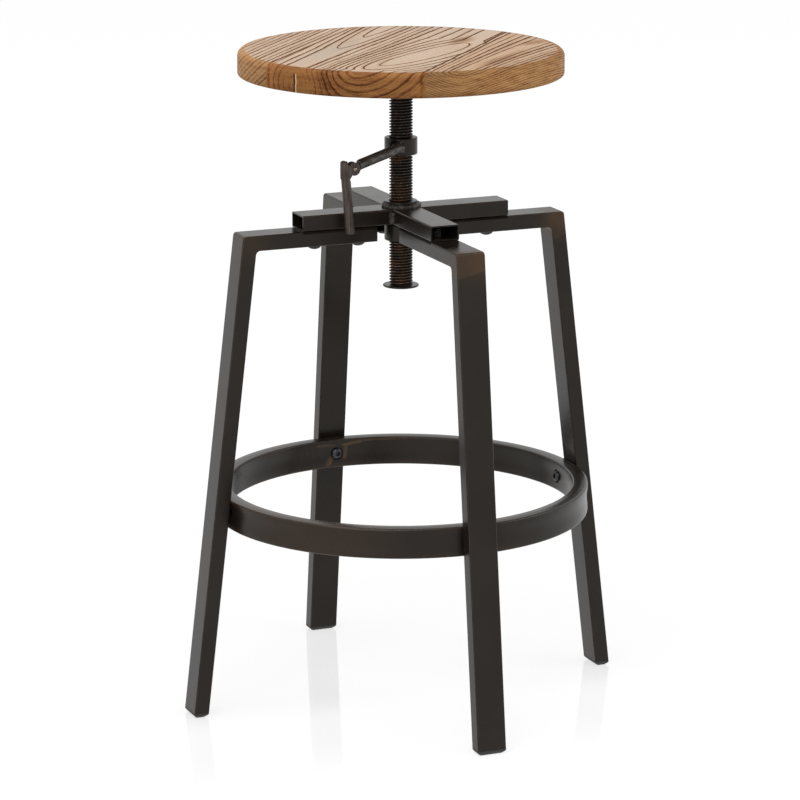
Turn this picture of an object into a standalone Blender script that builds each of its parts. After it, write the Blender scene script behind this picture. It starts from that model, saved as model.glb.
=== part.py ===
"""Height-adjustable screw stool: a round wooden seat on a four-legged tubular steel frame.

Metres, +Z up. The origin is on the floor under the middle of the seat, and the legs lie along
+X, +Y, -X and -Y. A leg's own frame has +X outwards, +Y across the tube and +Z up.
"""
import math

import bmesh
import bpy
from mathutils import Matrix, Vector

# Clearances
TOUCH_GAP = 0.0003          # between pieces that rest on each other
THREAD_GAP = 0.0003         # rod crest to the bores it runs in
HOLE_GAP = 0.0003           # bolt, screw or rivet shank to its hole

# Seat
SEAT_RISE = 0.1568          # top of the seat above the hub, as set in the photo
SEAT_RADIUS = 0.1668
SEAT_THICKNESS = 0.025
SEAT_TOP_ROUND = 0.0065
SEAT_BOTTOM_ROUND = 0.002
BOARD_TURN = math.radians(49.5)     # direction of the boards
LEFT_GLUE_LINE = 0.0965             # distance of each glue line from the middle of the seat
RIGHT_GLUE_LINE = 0.073
PLATE_RADIUS = 0.055
PLATE_THICKNESS = 0.004
SEAT_SCREW_COUNT = 4
SEAT_SCREW_CIRCLE = 0.042
SEAT_SCREW_RADIUS = 0.002
SEAT_SCREW_HEAD_RADIUS = 0.004
SEAT_SCREW_HEAD_HEIGHT = 0.0025
SEAT_SCREW_BITE = 0.016             # depth in the wood

# Threaded rod and its stop
ROD_RADIUS = 0.012
ROD_LENGTH = 0.2151
THREAD_PITCH = 0.003
THREAD_DEPTH = 0.0018
THREAD_LEAD_IN = 1.37               # turns cut away below the rod's square end
STOP_RADIUS = 0.0187
STOP_THICKNESS = 0.002
STOP_SCREW_RADIUS = 0.003
STOP_SCREW_HEAD_RADIUS = 0.005
STOP_SCREW_HEAD_HEIGHT = 0.003
STOP_SCREW_BITE = 0.014             # depth in the rod

# Tube that the frame is made of
TUBE_WIDTH = 0.031
TUBE_DEPTH = 0.016
TUBE_WALL = 0.0015
TUBE_CORNER = 0.002
LEAST_ROUND = 0.0005        # rounding left inside a tube

# Legs and cross arms
LEG_COUNT = 4
LEG_ARM_TOP = 0.503         # top of the leg's arm above the floor
LEG_ARM_START = 0.0325      # inner end of the leg's arm, from the rod's axis
LEG_SHOULDER = 0.1785       # outer top corner of the leg, from the rod's axis
FOOT_REACH = 0.238          # outer face of the leg at the floor, from the rod's axis
SHOULDER_ROUND = 0.003
ARMPIT_ROUND = 0.004
CROSS_ARM_REACH = 0.114     # outer end of the cross arm, from the rod's axis
CAP_BASE = 0.005
CAP_CHAMFER = 0.0035
CAP_PLUG = 0.012

# Hub and its weld
HUB_RADIUS = 0.017
HUB_HEIGHT = 0.041
HUB_RISE = 0.0062           # above the cross arms
BEAD_WIDTH = 0.0035
BEAD_HEIGHT = 0.005

# Leg bolts and their nuts
BOLT_RADIUS = 0.004
BOLT_HEAD_RADIUS = 0.0075
BOLT_HEAD_HEIGHT = 0.0052
BOLT_PROUD = 0.001          # past the nut
BOLT_PLACES = {"inner": 0.048, "outer": 0.096}
NUT_ACROSS_FLATS = 0.013
NUT_HEIGHT = 0.0065

# Foot ring
RING_MIDDLE = 0.213         # middle of the ring above the floor
RING_HEIGHT = 0.031
RING_DEPTH = 0.016
RING_BOLT_RADIUS = 0.003
RING_BOLT_HEAD_RADIUS = 0.0057
RING_BOLT_HEAD_HEIGHT = 0.0034
RING_SOCKET_ACROSS_FLATS = 0.005
RING_SOCKET_DEPTH = 0.002
INSERT_RADIUS = 0.0045
INSERT_LENGTH = 0.010

# Lock collar, crank arm and handle
COLLAR_RADIUS = 0.0170
COLLAR_HEIGHT = 0.0175
COLLAR_RISE = 0.0483        # underside of the collar above the hub
COLLAR_CHAMFER = 0.0008
CRANK_BEARING = math.radians(247.5)     # where the crank arm meets the collar
CRANK_TURN = math.radians(-60.0)        # from that bearing to the arm's own direction
CRANK_DROOP = math.radians(15.3)
CRANK_REACH = 0.0563        # level distance from the weld to the rivet
CRANK_RADIUS = 0.0047
CRANK_TAIL = 0.004          # arm past its weld point
EYE_RADIUS = 0.0041
EYE_THICKNESS = 0.004
EYE_LENGTH = 0.012
EAR_RADIUS = 0.0068
EAR_THICKNESS = 0.002
EAR_GAP = 0.0004            # fork to the arm and to its eye
HANDLE_RADIUS = 0.00455
HANDLE_LENGTH = 0.0755
HANDLE_HEAD = 0.0085        # handle above the rivet
HANDLE_LEAN = math.radians(5.0)
HANDLE_CHAMFER = 0.0008
RIVET_RADIUS = 0.0018
RIVET_HEAD_RADIUS = 0.0032
RIVET_HEAD_HEIGHT = 0.0012

# Smoothness of round pieces
SEAT_SEGMENTS = 96
RING_SEGMENTS = 64
THREAD_SEGMENTS = 12
ROUND_SEGMENTS = 32
SMALL_SEGMENTS = 12
CORNER_STEPS = 2
DOME_STEPS = 3
BEND_STEPS = 4
SHARP_ANGLE = math.radians(35.0)

# Heights that follow from the sizes
CROSS_ARM_BOTTOM = LEG_ARM_TOP + TOUCH_GAP
CROSS_ARM_TOP = CROSS_ARM_BOTTOM + TUBE_DEPTH
HUB_TOP = CROSS_ARM_TOP + HUB_RISE
COLLAR_BOTTOM = HUB_TOP + COLLAR_RISE
COLLAR_MIDDLE = COLLAR_BOTTOM + COLLAR_HEIGHT / 2
SEAT_TOP = HUB_TOP + SEAT_RISE
SEAT_BOTTOM = SEAT_TOP - SEAT_THICKNESS
PLATE_BOTTOM = SEAT_BOTTOM - TOUCH_GAP - PLATE_THICKNESS
ROD_TOP = PLATE_BOTTOM - TOUCH_GAP
ROD_BOTTOM = ROD_TOP - ROD_LENGTH
STOP_BOTTOM = ROD_BOTTOM - TOUCH_GAP - STOP_THICKNESS
BORE_RADIUS = ROD_RADIUS + THREAD_GAP

# Colour, roughness and metallic value of each finish
FINISHES = {
    "wood": ((0.48, 0.31, 0.18), 0.55, 0.0),
    "frame_paint": ((0.045, 0.038, 0.033), 0.42, 0.6),
    "thread_steel": ((0.05, 0.036, 0.028), 0.45, 0.8),
    "handle_steel": ((0.085, 0.066, 0.052), 0.45, 0.7),
    "bolt_steel": ((0.04, 0.037, 0.034), 0.4, 0.8),
    "plain_steel": ((0.35, 0.34, 0.33), 0.4, 0.9),
    "cap_plastic": ((0.02, 0.02, 0.02), 0.6, 0.0),
}


# Mesh building

def close_mesh(shape, name):
    """Turn a bmesh into a mesh with its faces pointing out."""
    bmesh.ops.recalc_face_normals(shape, faces=shape.faces)
    mesh = bpy.data.meshes.new(name)
    shape.to_mesh(mesh)
    shape.free()
    return mesh


def bridge(shape, first, second):
    """Join two loops of vertices with faces; a loop of one vertex is a point on the axis."""
    count = max(len(first), len(second))
    for i in range(count):
        j = (i + 1) % count
        if len(first) == 1:
            shape.faces.new((first[0], second[j], second[i]))
        elif len(second) == 1:
            shape.faces.new((first[i], first[j], second[0]))
        else:
            shape.faces.new((first[i], first[j], second[j], second[i]))


def lathe(name, profile, segments, first_angle=0.0):
    """Turn (radius, height) points about Z. A profile that starts off the axis closes on itself."""
    shape = bmesh.new()
    rings = []
    for radius, height in profile:
        if radius == 0:
            rings.append([shape.verts.new((0, 0, height))])
            continue
        angles = [first_angle + math.tau * i / segments for i in range(segments)]
        rings.append([shape.verts.new((radius * math.cos(a), radius * math.sin(a), height))
                      for a in angles])
    for first, second in zip(rings, rings[1:]):
        bridge(shape, first, second)
    if profile[0][0] > 0:
        bridge(shape, rings[-1], rings[0])
    return close_mesh(shape, name)


def loft(name, loops):
    """Skin a closed solid over a row of loops."""
    shape = bmesh.new()
    rings = [[shape.verts.new(point) for point in loop] for loop in loops]
    for first, second in zip(rings, rings[1:]):
        bridge(shape, first, second)
    shape.faces.new(rings[0])
    shape.faces.new(rings[-1])
    return close_mesh(shape, name)


def hollow_loft(name, outer_loops, inner_loops):
    """Skin a tube that is open at both ends."""
    shape = bmesh.new()
    outer = [[shape.verts.new(point) for point in loop] for loop in outer_loops]
    inner = [[shape.verts.new(point) for point in loop] for loop in inner_loops]
    for skin in (outer, inner):
        for first, second in zip(skin, skin[1:]):
            bridge(shape, first, second)
    bridge(shape, outer[0], inner[0])
    bridge(shape, outer[-1], inner[-1])
    return close_mesh(shape, name)


def prism(name, outline, low, high):
    """Stretch an outline in X and Z along Y."""
    return loft(name, [[(x, y, z) for x, z in outline] for y in (low, high)])


def moved(mesh, matrix):
    mesh.transform(matrix)
    return mesh


def combined(target, cutter, operation):
    """Boolean of two meshes, which are used up."""
    pair = [bpy.data.objects.new(mesh.name, mesh) for mesh in (target, cutter)]
    for thing in pair:
        bpy.context.scene.collection.objects.link(thing)
    modifier = pair[0].modifiers.new("combine", "BOOLEAN")
    modifier.operation = operation
    modifier.solver = "EXACT"
    modifier.object = pair[1]
    view = bpy.context.evaluated_depsgraph_get()
    result = bpy.data.meshes.new_from_object(pair[0].evaluated_get(view))
    for thing in pair:
        mesh = thing.data
        bpy.data.objects.remove(thing)
        bpy.data.meshes.remove(mesh)
    return result


def drilled(mesh, holes):
    """Cut round holes; each is (radius, start, end)."""
    for radius, start, end in holes:
        start = Vector(start)
        run = Vector(end) - start
        cutter = lathe("hole", solid_rod(radius, run.length), SMALL_SEGMENTS, math.pi / SMALL_SEGMENTS)
        turn = run.to_track_quat("Z", "X").to_matrix().to_4x4()
        mesh = combined(mesh, moved(cutter, Matrix.Translation(start) @ turn), "DIFFERENCE")
    return mesh


# Outlines and profiles

def solid_rod(radius, length, chamfer=0.0):
    """Profile of a round bar from height 0 to its length, chamfered at both ends."""
    if chamfer == 0:
        return [(0, 0), (radius, 0), (radius, length), (0, length)]
    return [(0, 0), (radius - chamfer, 0), (radius, chamfer),
            (radius, length - chamfer), (radius - chamfer, length), (0, length)]


def ring_profile(inner, outer, low, high, chamfer):
    return [(inner, low), (outer - chamfer, low), (outer, low + chamfer),
            (outer, high - chamfer), (outer - chamfer, high), (inner, high)]


def arc(centre_x, centre_y, radius, first, last, steps):
    """Points of an arc; an arc of no steps is the corner that it would round."""
    if steps == 0:
        middle = (first + last) / 2
        reach = radius * math.sqrt(2)
        return [(centre_x + reach * math.cos(middle), centre_y + reach * math.sin(middle))]
    angles = [first + (last - first) * i / steps for i in range(steps + 1)]
    return [(centre_x + radius * math.cos(a), centre_y + radius * math.sin(a)) for a in angles]


def dome(radius, height):
    """Quarter of an ellipse from its rim at height 0 to its top on the axis."""
    angles = [math.pi / 2 * i / DOME_STEPS for i in range(DOME_STEPS)]
    return [(radius * math.cos(a), height * math.sin(a)) for a in angles] + [(0, height)]


def dome_screw(radius, bite, head_radius, head_height):
    """Profile of a screw: a dome head below height 0 and a shank above it."""
    head = [(out, -up) for out, up in reversed(dome(head_radius, head_height))]
    return head + [(radius, 0), (radius, bite), (0, bite)]


def rounded_rectangle(half_width, half_depth, radius, splits=1, steps=CORNER_STEPS):
    """Outline about 0, 0, with its two wide sides split into equal runs."""
    corner_x = half_width - radius
    corner_y = half_depth - radius
    quarter = math.pi / 2
    points = arc(corner_x, -corner_y, radius, -quarter, 0, steps)
    points += arc(corner_x, corner_y, radius, 0, quarter, steps)
    between = [corner_x * (1 - 2 * i / splits) for i in range(1, splits)]
    points += [(x, half_depth) for x in between]
    points += arc(-corner_x, corner_y, radius, quarter, 2 * quarter, steps)
    points += arc(-corner_x, -corner_y, radius, 2 * quarter, 3 * quarter, steps)
    points += [(-x, -half_depth) for x in between]
    return points


def tube_outline(inset, splits=1):
    """Section of the frame tube, drawn in by an inset: across the tube and through its depth."""
    corner = max(TUBE_CORNER - inset, LEAST_ROUND)
    return rounded_rectangle(TUBE_WIDTH / 2 - inset, TUBE_DEPTH / 2 - inset, corner, splits)


def stadium(radius, length, steps=6):
    """Outline in X and Z: a half disc about 0, 0 at the +X end and a square end at -length."""
    return arc(0, 0, radius, -math.pi / 2, math.pi / 2, steps) + [(-length, radius), (-length, -radius)]


# The leg's side view

def leg_slope():
    """Outward run of the leg for each metre of drop."""
    return (FOOT_REACH - LEG_SHOULDER) / LEG_ARM_TOP


def leg_face(inset, height):
    """Distance from the rod's axis of a face of the sloping leg, inset from its outer face."""
    slope = leg_slope()
    return FOOT_REACH - slope * height - inset * math.hypot(1, slope)


def rounded_corner(before, corner, after, radius, steps):
    """Points of an arc that rounds a corner of a path in X and Z."""
    to_before = (before - corner).normalized()
    to_after = (after - corner).normalized()
    half = to_before.angle(to_after) / 2
    centre = corner + (to_before + to_after).normalized() * (radius / math.sin(half))
    run = radius / math.tan(half)
    start = corner + to_before * run - centre
    end = corner + to_after * run - centre
    return [centre + start.slerp(end, i / steps) * radius for i in range(steps + 1)]


def leg_path(inset, height, radius, foot_height):
    """One face of the leg from the arm's inner end, round the shoulder, down to the foot."""
    start = Vector((LEG_ARM_START, 0, height))
    corner = Vector((leg_face(inset, height), 0, height))
    foot = Vector((leg_face(inset, foot_height), 0, foot_height))
    return [start] + rounded_corner(start, corner, foot, radius, BEND_STEPS) + [foot]


def leg_loops(inset):
    """Sections of the leg tube along its length, drawn in by an inset."""
    foot_height = CAP_BASE + TOUCH_GAP
    shoulder = max(SHOULDER_ROUND - inset, LEAST_ROUND)
    outside = leg_path(inset, LEG_ARM_TOP - inset, shoulder, foot_height)
    inside_depth = TUBE_DEPTH - inset
    inside = leg_path(inside_depth, LEG_ARM_TOP - inside_depth, ARMPIT_ROUND + inset, foot_height)
    half_depth = TUBE_DEPTH / 2 - inset
    loops = []
    for outer_point, inner_point in zip(outside, inside):
        loop = []
        for across, through in tube_outline(inset):
            point = outer_point.lerp(inner_point, (1 + through / half_depth) / 2)
            loop.append((point.x, across, point.z))
        loops.append(loop)
    return loops


def foot_loop(height, inset):
    """Level section of the leg at a height, drawn in by an inset."""
    middle = leg_face(TUBE_DEPTH / 2, height)
    stretch = math.hypot(1, leg_slope())
    return [(middle + through * stretch, across, height) for across, through in tube_outline(inset)]


# Sub-parts, each in its own frame

def seat_board(name, low, high):
    """Slice of the round seat between two glue lines; the boards run along X."""
    quarter = math.pi / 2
    top = arc(SEAT_RADIUS - SEAT_TOP_ROUND, SEAT_TOP - SEAT_TOP_ROUND, SEAT_TOP_ROUND, 0, quarter, 5)
    bottom = arc(SEAT_RADIUS - SEAT_BOTTOM_ROUND, SEAT_BOTTOM + SEAT_BOTTOM_ROUND,
                 SEAT_BOTTOM_ROUND, -quarter, 0, 2)
    mesh = lathe(name, [(0, SEAT_BOTTOM)] + bottom + top + [(0, SEAT_TOP)], SEAT_SEGMENTS)
    shape = bmesh.new()
    shape.from_mesh(mesh)
    for place, side in ((low, -1), (high, 1)):
        if abs(place) >= SEAT_RADIUS:
            continue
        everything = shape.verts[:] + shape.edges[:] + shape.faces[:]
        cut_at = place - side * TOUCH_GAP / 2
        bmesh.ops.bisect_plane(shape, geom=everything, plane_co=(0, cut_at, 0),
                               plane_no=(0, side, 0), clear_outer=True)
        open_edges = [edge for edge in shape.edges if edge.is_boundary]
        bmesh.ops.edgeloop_fill(shape, edges=open_edges)
    bpy.data.meshes.remove(mesh)
    return close_mesh(shape, name)


def seat_screw_places():
    angles = [math.tau * (i + 0.5) / SEAT_SCREW_COUNT for i in range(SEAT_SCREW_COUNT)]
    return [Vector((SEAT_SCREW_CIRCLE * math.cos(a), SEAT_SCREW_CIRCLE * math.sin(a), 0)) for a in angles]


def pilot_holes(low, high):
    radius = SEAT_SCREW_RADIUS + HOLE_GAP
    return [(radius, place + Vector((0, 0, low)), place + Vector((0, 0, high)))
            for place in seat_screw_places()]


def threaded_rod():
    """Right-hand thread with its lower end at height 0, cut square and drilled for the stop screw."""
    shape = bmesh.new()
    turns = math.ceil(ROD_LENGTH / THREAD_PITCH) + 3
    columns = []
    for i in range(THREAD_SEGMENTS):
        angle = math.tau * i / THREAD_SEGMENTS
        column = []
        for k in range(2 * turns + 1):
            radius = ROD_RADIUS if k % 2 else ROD_RADIUS - THREAD_DEPTH
            height = THREAD_PITCH * (k / 2 + i / THREAD_SEGMENTS - THREAD_LEAD_IN)
            column.append(shape.verts.new((radius * math.cos(angle), radius * math.sin(angle), height)))
        columns.append(column)
    for i, column in enumerate(columns):
        last = i + 1 == THREAD_SEGMENTS
        beside = columns[0][2:] if last else columns[i + 1]
        for k in range(min(len(column), len(beside)) - 1):
            shape.faces.new((column[k], beside[k], beside[k + 1], column[k + 1]))
    for height, side in ((0, -1), (ROD_LENGTH, 1)):
        everything = shape.verts[:] + shape.edges[:] + shape.faces[:]
        bmesh.ops.bisect_plane(shape, geom=everything, plane_co=(0, 0, height),
                               plane_no=(0, 0, side), clear_outer=True)
    bmesh.ops.edgeloop_fill(shape, edges=[edge for edge in shape.edges if edge.is_boundary])
    mesh = close_mesh(shape, "threaded_rod")
    hole = (STOP_SCREW_RADIUS + HOLE_GAP, (0, 0, -THREAD_PITCH), (0, 0, STOP_SCREW_BITE + TOUCH_GAP))
    return drilled(mesh, [hole])


def hub_sleeve():
    """Bored sleeve with the bead that welds it to the cross arms."""
    bottom = HUB_TOP - HUB_HEIGHT
    bead_bottom = CROSS_ARM_TOP + TOUCH_GAP
    bead = [(HUB_RADIUS + out, bead_bottom + up) for out, up in dome(BEAD_WIDTH, BEAD_HEIGHT)]
    profile = [(BORE_RADIUS, bottom), (HUB_RADIUS, bottom), (HUB_RADIUS, bead_bottom), *bead,
               (HUB_RADIUS, HUB_TOP), (BORE_RADIUS, HUB_TOP)]
    return lathe("hub_sleeve", profile, ROUND_SEGMENTS)


def cross_arm():
    """Tube with its inner end shaped to the hub and mitred clear of the arms beside it."""
    def start(across):
        hub = HUB_RADIUS + TOUCH_GAP
        to_hub = math.sqrt(max(hub ** 2 - across ** 2, 0))
        return max(to_hub, abs(across) + TOUCH_GAP)

    middle = CROSS_ARM_BOTTOM + TUBE_DEPTH / 2
    skins = []
    for inset in (0, TUBE_WALL):
        outline = tube_outline(inset, splits=8)
        inner_end = [(start(across), across, middle + up) for across, up in outline]
        outer_end = [(CROSS_ARM_REACH, across, middle + up) for across, up in outline]
        skins.append([inner_end, outer_end])
    mesh = hollow_loft("cross_arm", *skins)
    holes = [(BOLT_RADIUS + HOLE_GAP, (place, 0, CROSS_ARM_BOTTOM - TUBE_WALL), (place, 0, middle))
             for place in BOLT_PLACES.values()]
    return drilled(mesh, holes)


def leg():
    """Arm and splayed leg in one tube, drilled for its bolts and its ring insert."""
    mesh = hollow_loft("leg", leg_loops(0), leg_loops(TUBE_WALL))
    low = LEG_ARM_TOP - TUBE_DEPTH - TUBE_WALL
    high = LEG_ARM_TOP + TUBE_WALL
    holes = [(BOLT_RADIUS + HOLE_GAP, (place, 0, low), (place, 0, high)) for place in BOLT_PLACES.values()]
    inner_face = leg_face(TUBE_DEPTH, RING_MIDDLE)
    middle = leg_face(TUBE_DEPTH / 2, RING_MIDDLE)
    holes.append((INSERT_RADIUS + HOLE_GAP, (inner_face - TUBE_DEPTH, 0, RING_MIDDLE),
                  (middle, 0, RING_MIDDLE)))
    return drilled(mesh, holes)


def foot_cap():
    """Chamfered base under the leg and a plug inside it."""
    plug_inset = TUBE_WALL + TOUCH_GAP
    return loft("foot_cap", [
        foot_loop(0, CAP_CHAMFER),
        foot_loop(CAP_CHAMFER, 0),
        foot_loop(CAP_BASE, 0),
        foot_loop(CAP_BASE, plug_inset),
        foot_loop(CAP_BASE + CAP_PLUG, plug_inset),
    ])


def leg_bolt():
    """Dome-head bolt from under the leg's arm up through the nut in the cross arm."""
    bite = TOUCH_GAP * 3 + TUBE_DEPTH + TUBE_WALL + NUT_HEIGHT + BOLT_PROUD
    profile = dome_screw(BOLT_RADIUS, bite, BOLT_HEAD_RADIUS, BOLT_HEAD_HEIGHT)
    return moved(lathe("leg_bolt", profile, SMALL_SEGMENTS),
                 Matrix.Translation((0, 0, LEG_ARM_TOP - TUBE_DEPTH - TOUCH_GAP)))


def arm_nut():
    """Hexagon nut on the cross arm's lower wall."""
    low = CROSS_ARM_BOTTOM + TUBE_WALL + TOUCH_GAP
    corner = NUT_ACROSS_FLATS / 2 / math.cos(math.pi / 6)
    body = lathe("arm_nut", [(0, low), (corner, low), (corner, low + NUT_HEIGHT), (0, low + NUT_HEIGHT)], 6)
    hole = (BOLT_RADIUS + HOLE_GAP, (0, 0, low - NUT_HEIGHT), (0, 0, low + 2 * NUT_HEIGHT))
    return drilled(body, [hole])


def ring_faces():
    """Distances of the ring's outer and inner flats from the rod's axis, at the legs."""
    outer = leg_face(TUBE_DEPTH, RING_MIDDLE + RING_HEIGHT / 2) - TOUCH_GAP
    return outer, outer - RING_DEPTH


def ring_skin(inset, corner_steps):
    """Solid ring of the ring tube's section, drawn in by an inset, with a flat at each leg."""
    outer, inner = ring_faces()
    half_turn = math.pi / RING_SEGMENTS
    middle = (outer + inner) / 2
    corner = max(TUBE_CORNER - inset, 0)
    outline = rounded_rectangle(RING_DEPTH / 2 - inset, RING_HEIGHT / 2 - inset, corner, 1, corner_steps)
    profile = [((middle + out) / math.cos(half_turn), RING_MIDDLE + up) for out, up in outline]
    return lathe("foot_ring", profile, RING_SEGMENTS, half_turn)


def foot_ring():
    """Rolled tube, drilled through for the ring bolts."""
    outer, inner = ring_faces()
    mesh = combined(ring_skin(0, CORNER_STEPS), ring_skin(TUBE_WALL, 0), "DIFFERENCE")
    up = Vector((0, 0, RING_MIDDLE))
    holes = []
    for number in range(LEG_COUNT):
        out = Matrix.Rotation(math.tau * number / LEG_COUNT, 3, "Z") @ Vector((1, 0, 0))
        holes.append((RING_BOLT_RADIUS + HOLE_GAP, out * (inner - RING_DEPTH) + up,
                      out * (outer + RING_DEPTH) + up))
    return drilled(mesh, holes)


def ring_bolt():
    """Button-head bolt with a hex socket, from inside the ring out into the leg's insert."""
    outer, inner = ring_faces()
    bite = leg_face(TUBE_DEPTH, RING_MIDDLE) + INSERT_LENGTH - inner
    profile = dome_screw(RING_BOLT_RADIUS, bite, RING_BOLT_HEAD_RADIUS, RING_BOLT_HEAD_HEIGHT)
    body = lathe("ring_bolt", profile, SMALL_SEGMENTS)
    corner = RING_SOCKET_ACROSS_FLATS / 2 / math.cos(math.pi / 6)
    floor = RING_SOCKET_DEPTH - RING_BOLT_HEAD_HEIGHT
    mouth = -2 * RING_BOLT_HEAD_HEIGHT
    socket = lathe("socket", [(0, mouth), (corner, mouth), (corner, floor), (0, floor)], 6)
    body = combined(body, socket, "DIFFERENCE")
    place = Matrix.Translation((inner - TOUCH_GAP, 0, RING_MIDDLE)) @ Matrix.Rotation(math.pi / 2, 4, "Y")
    return moved(body, place)


def ring_insert():
    """Threaded insert through the leg's inner wall."""
    profile = [(RING_BOLT_RADIUS + HOLE_GAP, 0), (INSERT_RADIUS, 0),
               (INSERT_RADIUS, INSERT_LENGTH), (RING_BOLT_RADIUS + HOLE_GAP, INSERT_LENGTH)]
    body = lathe("ring_insert", profile, SMALL_SEGMENTS)
    start = leg_face(TUBE_DEPTH, RING_MIDDLE)
    return moved(body, Matrix.Translation((start, 0, RING_MIDDLE)) @ Matrix.Rotation(math.pi / 2, 4, "Y"))


def weld_point():
    """Where the crank arm's axis passes the collar, with +X along the crank's bearing."""
    return Vector((COLLAR_RADIUS + CRANK_RADIUS + TOUCH_GAP, 0, 0))


def rivet_point():
    """The handle's pivot, in the crank's frame."""
    level = Matrix.Rotation(CRANK_TURN, 3, "Z") @ Vector((CRANK_REACH, 0, 0))
    return weld_point() + level - Vector((0, 0, CRANK_REACH * math.tan(CRANK_DROOP)))


def crank_arm():
    """Round bar welded across the collar, flattened to an eye at the rivet."""
    length = CRANK_REACH / math.cos(CRANK_DROOP)
    bar_length = CRANK_TAIL + length - EAR_RADIUS - EAR_GAP
    bar = lathe("crank_arm", solid_rod(CRANK_RADIUS, bar_length), SMALL_SEGMENTS, math.pi / SMALL_SEGMENTS)
    moved(bar, Matrix.Translation((-CRANK_TAIL, 0, 0)) @ Matrix.Rotation(math.pi / 2, 4, "Y"))
    eye = prism("eye", stadium(EYE_RADIUS, EYE_LENGTH), -EYE_THICKNESS / 2, EYE_THICKNESS / 2)
    moved(eye, Matrix.Translation((length, 0, 0)))
    arm = combined(bar, eye, "UNION")
    arm = drilled(arm, [(RIVET_RADIUS + HOLE_GAP, (length, -CRANK_RADIUS, 0), (length, CRANK_RADIUS, 0))])
    turn = Matrix.Rotation(CRANK_TURN, 4, "Z") @ Matrix.Rotation(CRANK_DROOP, 4, "Y")
    moved(arm, Matrix.Translation(weld_point()) @ turn)
    space = solid_rod(COLLAR_RADIUS + TOUCH_GAP, 2 * COLLAR_HEIGHT)
    collar = lathe("collar_space", space, 2 * ROUND_SEGMENTS)
    moved(collar, Matrix.Translation((0, 0, -COLLAR_HEIGHT)))
    return combined(arm, collar, "DIFFERENCE")


def handle_offset():
    """Handle's axis outside the rivet, clear of the crank arm's eye."""
    return (EYE_RADIUS + EAR_GAP + HANDLE_RADIUS) / math.cos(HANDLE_LEAN)


def crank_handle():
    """Round handle with two ears astride the crank arm's eye; the rivet is at 0, 0, 0."""
    bar = lathe("crank_handle", solid_rod(HANDLE_RADIUS, HANDLE_LENGTH, HANDLE_CHAMFER), SMALL_SEGMENTS,
                math.pi / SMALL_SEGMENTS)
    moved(bar, Matrix.Translation((0, 0, HANDLE_HEAD - HANDLE_LENGTH)))
    moved(bar, Matrix.Translation((handle_offset(), 0, 0)) @ Matrix.Rotation(HANDLE_LEAN, 4, "Y"))
    near = EYE_THICKNESS / 2 + EAR_GAP
    far = near + EAR_THICKNESS
    for low, high in ((near, far), (-far, -near)):
        ear = prism("ear", stadium(EAR_RADIUS, handle_offset(), 8), low, high)
        moved(ear, Matrix.Rotation(math.pi, 4, "Z"))
        bar = combined(bar, ear, "UNION")
    return drilled(bar, [(RIVET_RADIUS + HOLE_GAP, (0, -2 * far, 0), (0, 2 * far, 0))])


def handle_rivet():
    """Rivet with a dome head on each ear."""
    half = EYE_THICKNESS / 2 + EAR_GAP + EAR_THICKNESS + TOUCH_GAP
    head = dome(RIVET_HEAD_RADIUS, RIVET_HEAD_HEIGHT)
    profile = [(out, -half - up) for out, up in reversed(head)]
    profile += [(RIVET_RADIUS, -half), (RIVET_RADIUS, half)]
    profile += [(out, half + up) for out, up in head]
    return moved(lathe("handle_rivet", profile, SMALL_SEGMENTS), Matrix.Rotation(math.pi / 2, 4, "X"))


# Objects

def finish_material(name, finish):
    colour, roughness, metallic = FINISHES[finish]
    material = bpy.data.materials.new(name)
    material.use_nodes = True
    shader = material.node_tree.nodes["Principled BSDF"]
    shader.inputs["Base Color"].default_value = (*colour, 1)
    shader.inputs["Roughness"].default_value = roughness
    shader.inputs["Metallic"].default_value = metallic
    material.diffuse_color = (*colour, 1)
    return material


def empty(name, location, turn=0.0):
    thing = bpy.data.objects.new(name, None)
    thing.location = location
    thing.rotation_euler = (0, 0, turn)
    bpy.context.scene.collection.objects.link(thing)
    return thing


def add(name, mesh, finish, parent, location=(0, 0, 0), turn=0.0):
    """Make one sub-part: a named object with its own mesh and material under a parent."""
    mesh.name = name
    mesh.shade_smooth()
    mesh.set_sharp_from_angle(angle=SHARP_ANGLE)
    mesh.materials.clear()
    mesh.materials.append(finish_material(name, finish))
    thing = bpy.data.objects.new(name, mesh)
    thing.parent = parent
    thing.location = location
    thing.rotation_euler = (0, 0, turn)
    bpy.context.scene.collection.objects.link(thing)
    return thing


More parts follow.
